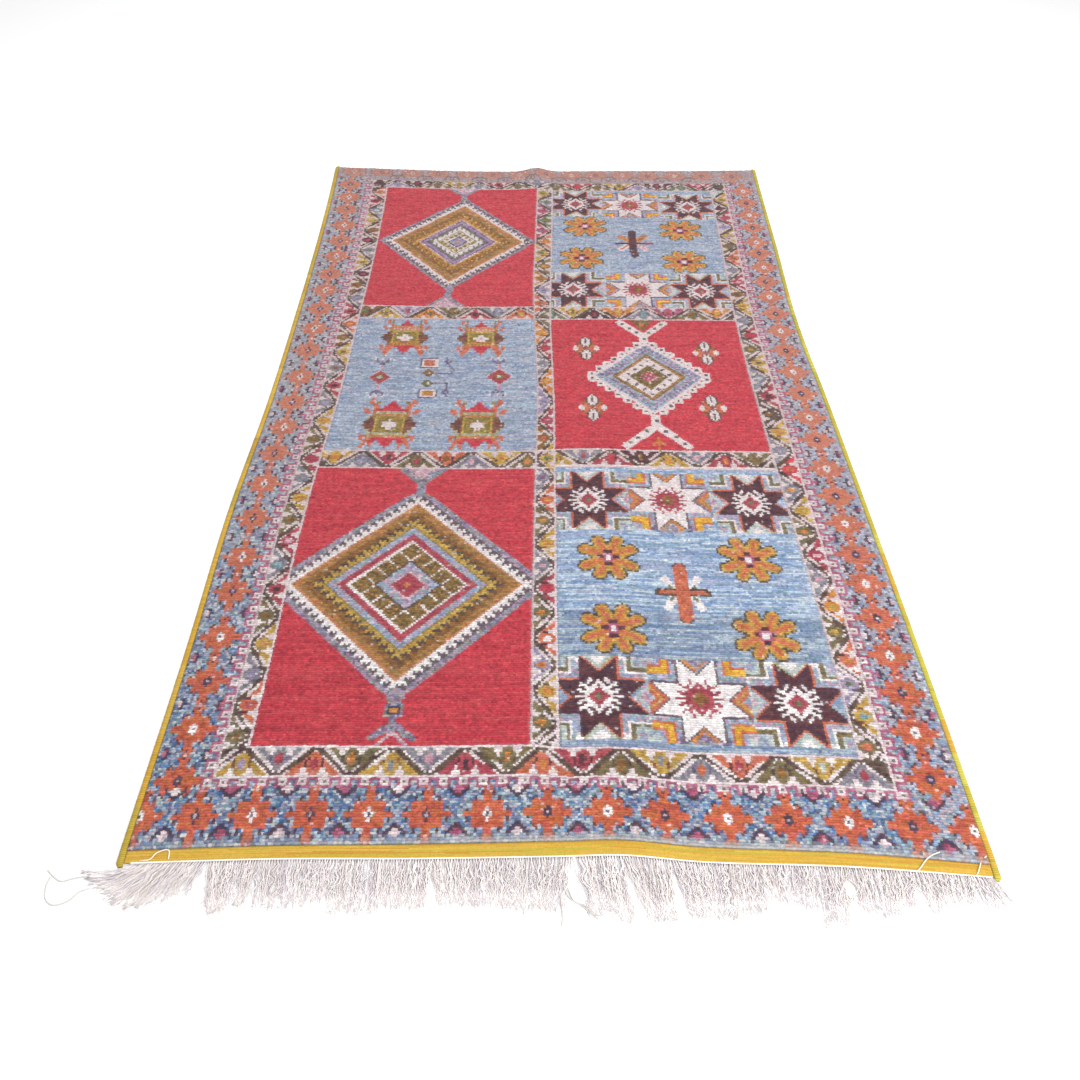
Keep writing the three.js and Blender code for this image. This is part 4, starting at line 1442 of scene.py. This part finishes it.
# %% Gold band
WEFTS, BEAD, WEFT_VALLEY, BAND_UNEVEN = 15, 0.22 * MM, 0.45 * MM, 0.06 * MM
# The weft valleys take painted shade, a darker share of the gold, and the band's walls and coarse side a
# dark gold as painted shade
WEFT_SPREAD, WEFT_PAINTED_SHADE, GOLD_PAINTED_SHADE, LONGEST_BAND_CELL = 0.05, 0.72, (0.3, 0.2, 0.05), 20
gold_strands = [(238, 192, 76), (232, 184, 68), (243, 200, 86), (234, 192, 82), (225, 177, 72)]
lime_strands = [(226, 212, 84), (214, 200, 78), (232, 220, 100), (220, 200, 78)]
dyes["gold"] = (40, gold_strands + gold_strands + [(214, 196, 78), (228, 166, 66)])
dyes["cord gold"] = (40, gold_strands + gold_strands[:3] + [(220, 190, 76), (214, 184, 72)])
dyes["lime"] = (30, lime_strands + gold_strands[:1])
across = np.linspace(0, 1, 2 * COLUMNS + 1)[None, :]
band_lines = np.linspace(0, 1, 2 * WEFTS + 1)[:, None]
band_x, _ = plan(across, np.zeros_like(across))
band_x, band_share = np.broadcast_arrays(band_x, band_lines)
band_y = near_end(band_x) + band_share * BAND_LENGTH
weft_number = np.arange(2 * WEFTS + 1)[:, None]
beads = BEAD * np.cos(np.pi * (np.arange(2 * COLUMNS + 1)[None, :] + weft_number // 2))
band_z = BAND_THICK - WEFT_VALLEY * (weft_number % 2 == 0) + beads
band_z = band_z + rng.normal(0, BAND_UNEVEN, band_x.shape)
band_wool = spun("gold", (WEFTS, 2 * COLUMNS)) * rng.normal(1, WEFT_SPREAD, (WEFTS, 2 * COLUMNS, 1))
# painted shade in the valleys between wefts
band_colours = np.repeat(band_wool, 2, 0)[:, :, None, :] * np.where(in_valley(WEFTS), WEFT_PAINTED_SHADE, 1)
band_cuts = cuts([0, 2 * COLUMNS], LONGEST_BAND_CELL)
band_top = placed(band_x, band_y, band_z)
band_base = placed(band_x, band_y, 0 * band_x)[np.ix_([0, 2 * WEFTS], band_cuts)]
# the walls and coarse side of the band take a dark gold as painted shade
band = cloth("gold_band", band_top, band_base, np.array([0, 2 * WEFTS]), band_cuts,
             np.ones((1, len(band_cuts) - 1), bool), np.clip(band_colours, 0, 1), GOLD_PAINTED_SHADE, gold_finish)

# %% [markdown]
# ## Edge cords
# Along each long edge gold wool is wound over a bundle of warps, turn after turn. The cord is one tube
# swept along the edge, flat where it lies on the floor. Two rings make a turn, one proud and one sunk,
# and the rings lean, because the yarn is wound on a slant.

# %% Tubes along a path
CAP_AT, CAP_RADIUS = 0.95, 0.03


def tube_faces(number):
    """The faces of closed tubes: four-cornered sides and a flat cap on both ends. number holds the
    numbers of the points by tube, ring and corner."""
    after = np.roll(number, -1, axis=2)
    quads = np.stack([number[:, :-1], after[:, :-1], after[:, 1:], number[:, 1:]], -1).reshape(-1, 4)
    return [quads, number[:, 0, ::-1], number[:, -1]]


def tube(points, colours, name, material):
    """A closed tube from rings of points, shape (rings, sides, 3), each running anticlockwise as seen
    from the end of the path."""
    count, sides = points.shape[:2]
    shade = np.concatenate([
        np.repeat(colours[:-1], sides * 4, axis=0).reshape(-1, 3),
        np.repeat(colours[[0, -1]], sides, axis=0),
    ])
    turn = np.linspace(0, 1, sides + 1)
    ahead = np.linspace(0, 1, count)
    u = np.stack(np.broadcast_arrays(turn[None, :-1], turn[None, 1:], turn[None, 1:], turn[None, :-1]), -1)
    v = np.stack([ahead[:-1], ahead[:-1], ahead[1:], ahead[1:]], -1)[:, None, :]
    side_map = np.stack(np.broadcast_arrays(u * SHOWN_PART, v), -1).reshape(-1, 2)
    angle = turn[:-1] * 2 * np.pi
    cap_map = CAP_AT + CAP_RADIUS * np.stack([np.cos(angle), np.sin(angle)], -1)
    places = np.concatenate([side_map, cap_map[::-1], cap_map])
    faces = tube_faces(np.arange(count * sides).reshape(1, count, sides))
    return new_piece(name, points.reshape(-1, 3), faces, shade, {"OFBake": places}, material)


# %% Edge cords
WRAP, WRAP_PROUD, SLANT, CORD_SIDES, EDGE_STEPS = 3.3 * MM, 0.35 * MM, 1.6 * MM, 8, 400
TIP_SCALE, CORD_UNEVEN, CORD_LOWEST, WRAP_PAINTED_SHADE, WRAP_SPREAD = 0.6, 0.1 * MM, 0.2 * MM, 0.7, 0.06
CORD_FADE_FROM, CORD_FADE_OVER, CORD_FADED, CORD_FADED_SHARE = 1.6, 0.9, (204, 186, 70), 0.35


def edge_cord(side):
    """The overcast cord along one long edge, side -1 for the left one and 1 for the right one."""
    edge_x, edge_y = plan(np.full(EDGE_STEPS, (side + 1) / 2), np.linspace(0, 1, EDGE_STEPS))
    near = near_end(edge_x[0])
    path_y = np.concatenate([[near - CORD_NEAR_TIP, near], edge_y, [edge_y[-1] + CORD_FAR_TIP]])
    path_x = np.concatenate([edge_x[:1], edge_x[:1], edge_x, edge_x[-1:]])
    count = 2 * int((path_y[-1] - path_y[0]) / WRAP) + 1
    ring_y = np.linspace(path_y[0] + SLANT / 2, path_y[-1] - SLANT / 2, count)
    ring_x = np.interp(ring_y, path_y, path_x)
    to_tip = np.minimum((ring_y - path_y[0]) / CORD_NEAR_TIP, (path_y[-1] - ring_y) / CORD_FAR_TIP)
    scale = TIP_SCALE + (1 - TIP_SCALE) * soft_step(to_tip)
    is_proud = np.arange(count) % 2 == 1
    proud = np.where(is_proud, 0, -WRAP_PROUD) + rng.normal(0, CORD_UNEVEN, count)
    angle = np.linspace(0, 2 * np.pi, CORD_SIDES, endpoint=False)[None, :]
    half_wide = (CORD_WIDE / 2 * scale + proud)[:, None]
    half_high = (CORD_THICK / 2 * scale + proud)[:, None]
    across = side * (SEAM + CORD_WIDE / 2 * scale)[:, None] + half_wide * np.cos(angle)
    up_by = half_high * (1 + np.sin(angle))
    lean = SLANT * np.cos(angle) * side / 2
    points = placed(ring_x[:, None] + across, ring_y[:, None] - lean, np.maximum(up_by, CORD_LOWEST))
    shades = spun("lime" if side > 0 else "cord gold", (1, count))[0]
    fade = CORD_FADED_SHARE * soft_step((ring_y - CORD_FADE_FROM) / CORD_FADE_OVER)[:, None]
    shades = shades * (1 - fade) + fade * WOOL_LEVEL * to_light(CORD_FADED)
    # the sunk rings take painted shade, darker than the proud ones
    shades *= np.where(is_proud, 1, WRAP_PAINTED_SHADE)[:, None] * rng.normal(1, WRAP_SPREAD, (count, 1))
    name = "edge_cord_left" if side < 0 else "edge_cord_right"
    return tube(points[:, ::-1], np.clip(shades, 0, 1), name, gold_finish)


edge_cords = [edge_cord(-1), edge_cord(1)]

# %% [markdown]
# ## The fringe
# At the near end the warps themselves stick out: well over a thousand plied cotton ends that have parted
# into tufts. Each thread is a thin three-sided tube from the woven edge to its own tip. A tuft says where
# its roots and tips lie and how far they reach. Small bundles of threads share one wave, because that is
# how loose ends cling together, and each thread adds a little of its own.

# %% Tufts, in millimetres
tufts = np.array([
    # roots from, to, tips from, to, reach at the first root, at the last one
    (-732, -664, -816, -724, 34, 83), (-664, -604, -724, -628, 83, 56), (-604, -555, -592, -562, 88, 88),
    (-555, -518, -552, -530, 75, 80), (-518, -425, -516, -428, 84, 81), (-425, -392, -424, -396, 71, 74),
    (-392, -310, -390, -312, 92, 92), (-310, -222, -308, -226, 83, 86), (-222, -95, -208, -96, 82, 82),
    (-95, -55, -90, -58, 89, 96), (-55, 20, -54, 3, 90, 95), (20, 62, 46, 72, 109, 96),
    (62, 108, 78, 118, 102, 123), (108, 190, 144, 186, 112, 104), (190, 300, 214, 294, 99, 92),
    (300, 345, 306, 342, 86, 82), (345, 392, 352, 388, 60, 65), (392, 435, 396, 430, 67, 77),
    (435, 492, 438, 480, 104, 90), (492, 535, 504, 530, 77, 75), (535, 575, 536, 566, 83, 77),
    (575, 608, 574, 602, 65, 57), (608, 640, 620, 640, 69, 67), (640, 705, 646, 700, 52, 48),
    (705, 741, 714, 764, 59, 46),
]) * MM
THREADS, BUNDLE, THREAD_WIDE, THREAD_STEPS, STEP_GROWTH = 1840, 4, 1.85 * MM, 17, 1.2
BUNDLE_REACH, SHORTER_BY, TIP_SPREAD, CORNER_CURL = (0.93, 1.02), 0.2, 2.5 * MM, 24 * MM
LEAN_IN_SWEEP, LEAN_MORE = 0.1, 0.25
ROOT_BACK, FRINGE_HIGH, PINCH, PINCH_LONG = 1.5 * MM, 5.5 * MM, 4.7 * MM, 8 * MM


def swept(paths, radius, sides=3):
    """Closed thin tubes along many paths at once. paths has the shape (threads, steps, 3), radius
    (threads, steps). Each section stands across its path, one corner up. Gives points, faces, and for
    each face corner the number of its thread."""
    ahead = np.gradient(paths, axis=1)
    ahead /= np.linalg.norm(ahead, axis=2, keepdims=True)
    aside = np.cross(ahead, [0, 0, 1.0])
    aside /= np.linalg.norm(aside, axis=2, keepdims=True) + 1e-9
    above = np.cross(aside, ahead)
    angle = np.pi / 2 + np.linspace(0, 2 * np.pi, sides, endpoint=False)
    section = (aside[:, :, None] * np.cos(angle)[:, None] + above[:, :, None] * np.sin(angle)[:, None])
    points = paths[:, :, None] + radius[:, :, None, None] * section
    threads, steps = paths.shape[:2]
    faces = tube_faces(np.arange(threads * steps * sides).reshape(threads, steps, sides))
    owner = np.concatenate([f.ravel() for f in faces]) // (steps * sides)
    return points.reshape(-1, 3), faces, owner


# %% Threads
root_x = np.sort(rng.uniform(tufts[0, 0], tufts[-1, 1], THREADS))
tuft = np.clip(np.searchsorted(tufts[:, 1], root_x), 0, len(tufts) - 1)
share = (root_x - tufts[tuft, 0]) / (tufts[tuft, 1] - tufts[tuft, 0])
bundle = np.arange(THREADS) // BUNDLE
bundles = bundle[-1] + 1


def of_bundle(values):
    """One of the values for each thread, the same throughout its bundle, as a column."""
    return values[bundle][:, None]


def of_thread(spread):
    """A random value for each thread, with that spread, as a column."""
    return rng.normal(0, spread, (THREADS, 1))


t = np.linspace(0, 1, THREAD_STEPS)[None, :] ** STEP_GROWTH
root = root_x[:, None]
root_y = near_end(root) - SEAM - ROOT_BACK
tip_x = (tufts[tuft, 2] + (tufts[tuft, 3] - tufts[tuft, 2]) * share)[:, None]
tip_x = tip_x + of_bundle(rng.normal(0, TIP_SPREAD, bundles)) + of_thread(TIP_SPREAD)
reach = (tufts[tuft, 4] + (tufts[tuft, 5] - tufts[tuft, 4]) * share)[:, None]
reach = reach * of_bundle(rng.uniform(*BUNDLE_REACH, bundles))
reach = reach * (1 - SHORTER_BY * rng.random((THREADS, 1)) ** 2)
in_sweep = np.where(tuft == 0, share, 1)[:, None]
lean = LEAN_IN_SWEEP + LEAN_MORE * in_sweep
path_x = root + (tip_x - root) * (2 * lean * t * (1 - t) + t * t)  # sideways mostly near the tip
path_y = root_y - reach * (0.9 * t + 0.1 * t * t) + CORNER_CURL * (1 - in_sweep) ** 2 * t ** 3

# %% [markdown]
# Two things keep the threads from lying like combed hair. The weave has left a crimp in each, so it
# wanders from side to side, and bundles wander together. And at the root the twined cord pinches them
# into small groups, with a dark gap from one group to the next.

# %% Crimp and pinch
CRIMP, CURL, CURLY = 1.7 * MM, 5 * MM, 0.12
BUNDLE_WAVE_LONG, OWN_WAVE_LONG = (26, 48), (20, 34)  # in millimetres
BUNDLE_WAVE, TIP_STRAY, WAVE_ALONG, PINCHED_BY = 2.4 * MM, 3.5 * MM, 1.2 * MM, 0.75
LOWEST_THREAD, LAYERS, THICKNESSES, TAPER = 0.95 * MM, (0.12, 1), (0.8, 1.15), 0.3
ARCH_FROM, ARCH_SPAN, ARCH_BLUNT = 0.18, 1.05, 0.7
crimp = (2 * np.pi * t * reach / of_bundle(rng.uniform(*BUNDLE_WAVE_LONG, bundles)) / MM
         + of_bundle(rng.uniform(0, 2 * np.pi, bundles)))
own_crimp = 2 * np.pi * t * reach / rng.uniform(*OWN_WAVE_LONG, (THREADS, 1)) / MM + of_thread(6)
own_wave = of_thread(1) * np.where(rng.random((THREADS, 1)) < CURLY, CURL, CRIMP)
wander = of_bundle(rng.normal(0, BUNDLE_WAVE, bundles)) * np.sin(crimp) + own_wave * np.sin(own_crimp)
set_free = np.minimum(3 * t, 1)
path_x += set_free * wander + of_thread(TIP_STRAY) * t ** 4
path_y += set_free * of_thread(WAVE_ALONG) * np.cos(own_crimp)
pinched = np.exp(-((t * reach / PINCH_LONG) ** 2))
path_x += pinched * PINCHED_BY * (np.round(root / PINCH) * PINCH - root)
layer = rng.uniform(*LAYERS, (THREADS, 1))
rise = np.sin(np.pi * np.minimum(t * ARCH_SPAN + ARCH_FROM, 1)) ** ARCH_BLUNT
path_z = LOWEST_THREAD + FRINGE_HIGH * layer * rise
thread_paths = placed(path_x, path_y, path_z)
thickness = THREAD_WIDE / 2 * rng.uniform(*THICKNESSES, (THREADS, 1)) * (1 - TAPER * t ** 2)
points, faces, owner = swept(thread_paths, np.broadcast_to(thickness, thread_paths.shape[:2]))
warp_strands = [(240, 233, 233), (231, 222, 224), (247, 242, 240), (220, 211, 216), (236, 227, 221)]
thread_colour = to_light(warp_strands)[rng.integers(0, len(warp_strands), THREADS)]
threads = new_piece("fringe_threads", points, faces, thread_colour[owner], {}, warp_finish)

# %% The twined cord at the roots
TWIST, TWINE_WIDE, TWINE_STEPS, TWINE_OVER, TWINE_HIGH = 5.5 * MM, 1.7 * MM, 860, -0.6 * MM, 3.9 * MM
TWINE_SWAY, TWINE_RISE, TWINE_WHITE = 0.9 * MM, 0.8 * MM, (252, 247, 240)
along = np.linspace(tufts[0, 0], tufts[-1, 1], TWINE_STEPS)
phase = 2 * np.pi * along / TWIST
strands = [placed(along, near_end(along) + TWINE_OVER + TWINE_SWAY * np.sin(phase + start),
                  TWINE_HIGH + TWINE_RISE * np.cos(phase + start)) for start in (0, np.pi)]
points, faces, owner = swept(np.array(strands), np.full((2, TWINE_STEPS), TWINE_WIDE / 2), sides=5)
white = np.tile(to_light(TWINE_WHITE), (len(owner), 1))
twine = new_piece("twined_cord", points, faces, white, {}, warp_finish)

# %% [markdown]
# A few ends have strayed: one lies in a loop over the band, two reach up over it on the right, two curl
# out past the left corner, and three hang down in the gap at the middle. Their routes are listed points,
# with a smooth curve through them.

# %% Stray ends, in millimetres
stray_ends = [
    [(-735, 7, 2), (-716, 13, 3), (-701, 15, 5), (-693, 25, 6), (-680, 31, 6), (-672, 29, 6), (-670, 15, 5)],
    [(612, 4, 3), (621, 12, 6), (634, 25, 6), (645, 32, 9), (660, 37, 11)],
    [(714, -2, 3), (720, 7, 6), (730, 23, 6), (740, 31, 9)],
    [(-788, -34, 3), (-803, -40, 2), (-818, -55, 1), (-840, -61, 1), (-856, -50, 1), (-861, -31, 2),
     (-860, -15, 1)],
    [(-794, -14, 4), (-818, -17, 2), (-840, -22, 1), (-858, -12, 1), (-868, -4, 1)],
    [(4, -28, 4), (14, -44, 2), (30, -53, 2), (44, -64, 1), (61, -77, 1)],
    [(8, -20, 4), (20, -47, 2), (38, -55, 2), (52, -68, 1), (66, -72, 1)],
    [(-2, -40, 3), (0, -60, 2), (1, -76, 1), (-1, -88, 1)],
]
STRAY_STEPS, STRAY_SIDES, STRAY_WIDE = 32, 4, 2.3 * MM
ENDS_OVER_BAND = 3  # the first ones of the list, seen against the gold


def smooth_route(stops):
    """A smooth curve through the stops: each is passed in the direction of the line between its
    neighbours, and a cubic joins one stop to the next."""
    stops = np.array(stops, float)
    number = np.arange(len(stops), dtype=float)
    steps = np.linspace(0, len(stops) - 1, STRAY_STEPS)
    table = np.column_stack([number, stops])
    return np.column_stack([read(table, axis, steps) for axis in (1, 2, 3)]) * MM


routes = np.array([placed(*smooth_route(stops).T) for stops in stray_ends])
routes[..., 2] = np.maximum(routes[..., 2], STRAY_WIDE / 2)
points, faces, owner = swept(routes, np.full(routes.shape[:2], STRAY_WIDE / 2), sides=STRAY_SIDES)
# ends on the floor take a grey painted shade, and the ones over the band keep a cream warp colour
over_band, on_floor_painted_shade = to_light((240, 232, 214)), to_light((205, 201, 196))
stray_colours_with_painted_shade = np.where(owner[:, None] < ENDS_OVER_BAND, over_band, on_floor_painted_shade)
strays = new_piece("stray_ends", points, faces, stray_colours_with_painted_shade, {}, warp_finish)

# %% [markdown]
# ## Joining the frame
# Every piece rides on the one body. The pile pieces stand for the knotted solid, the band, cords and
# threads for theirs. The ground weave lies on the floor and stands for the knotted solid too.

# %% Frame calls
for piece in pile_pieces:
    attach(piece, "root")
    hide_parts("knotted_pile")
for piece, node, finish in (
    (ground, "knotted_pile", "pile_wool"),
    (band, "flatweave_band", "gold_wool"),
    (edge_cords[0], "selvedge_left", "gold_wool"),
    (edge_cords[1], "selvedge_right", "gold_wool"),
    (threads, "warp_fringe", "warp_cotton"),
    (twine, "warp_fringe", "warp_cotton"),
    (strays, "warp_fringe", "warp_cotton"),
):
    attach(piece, "root")
    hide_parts(node)
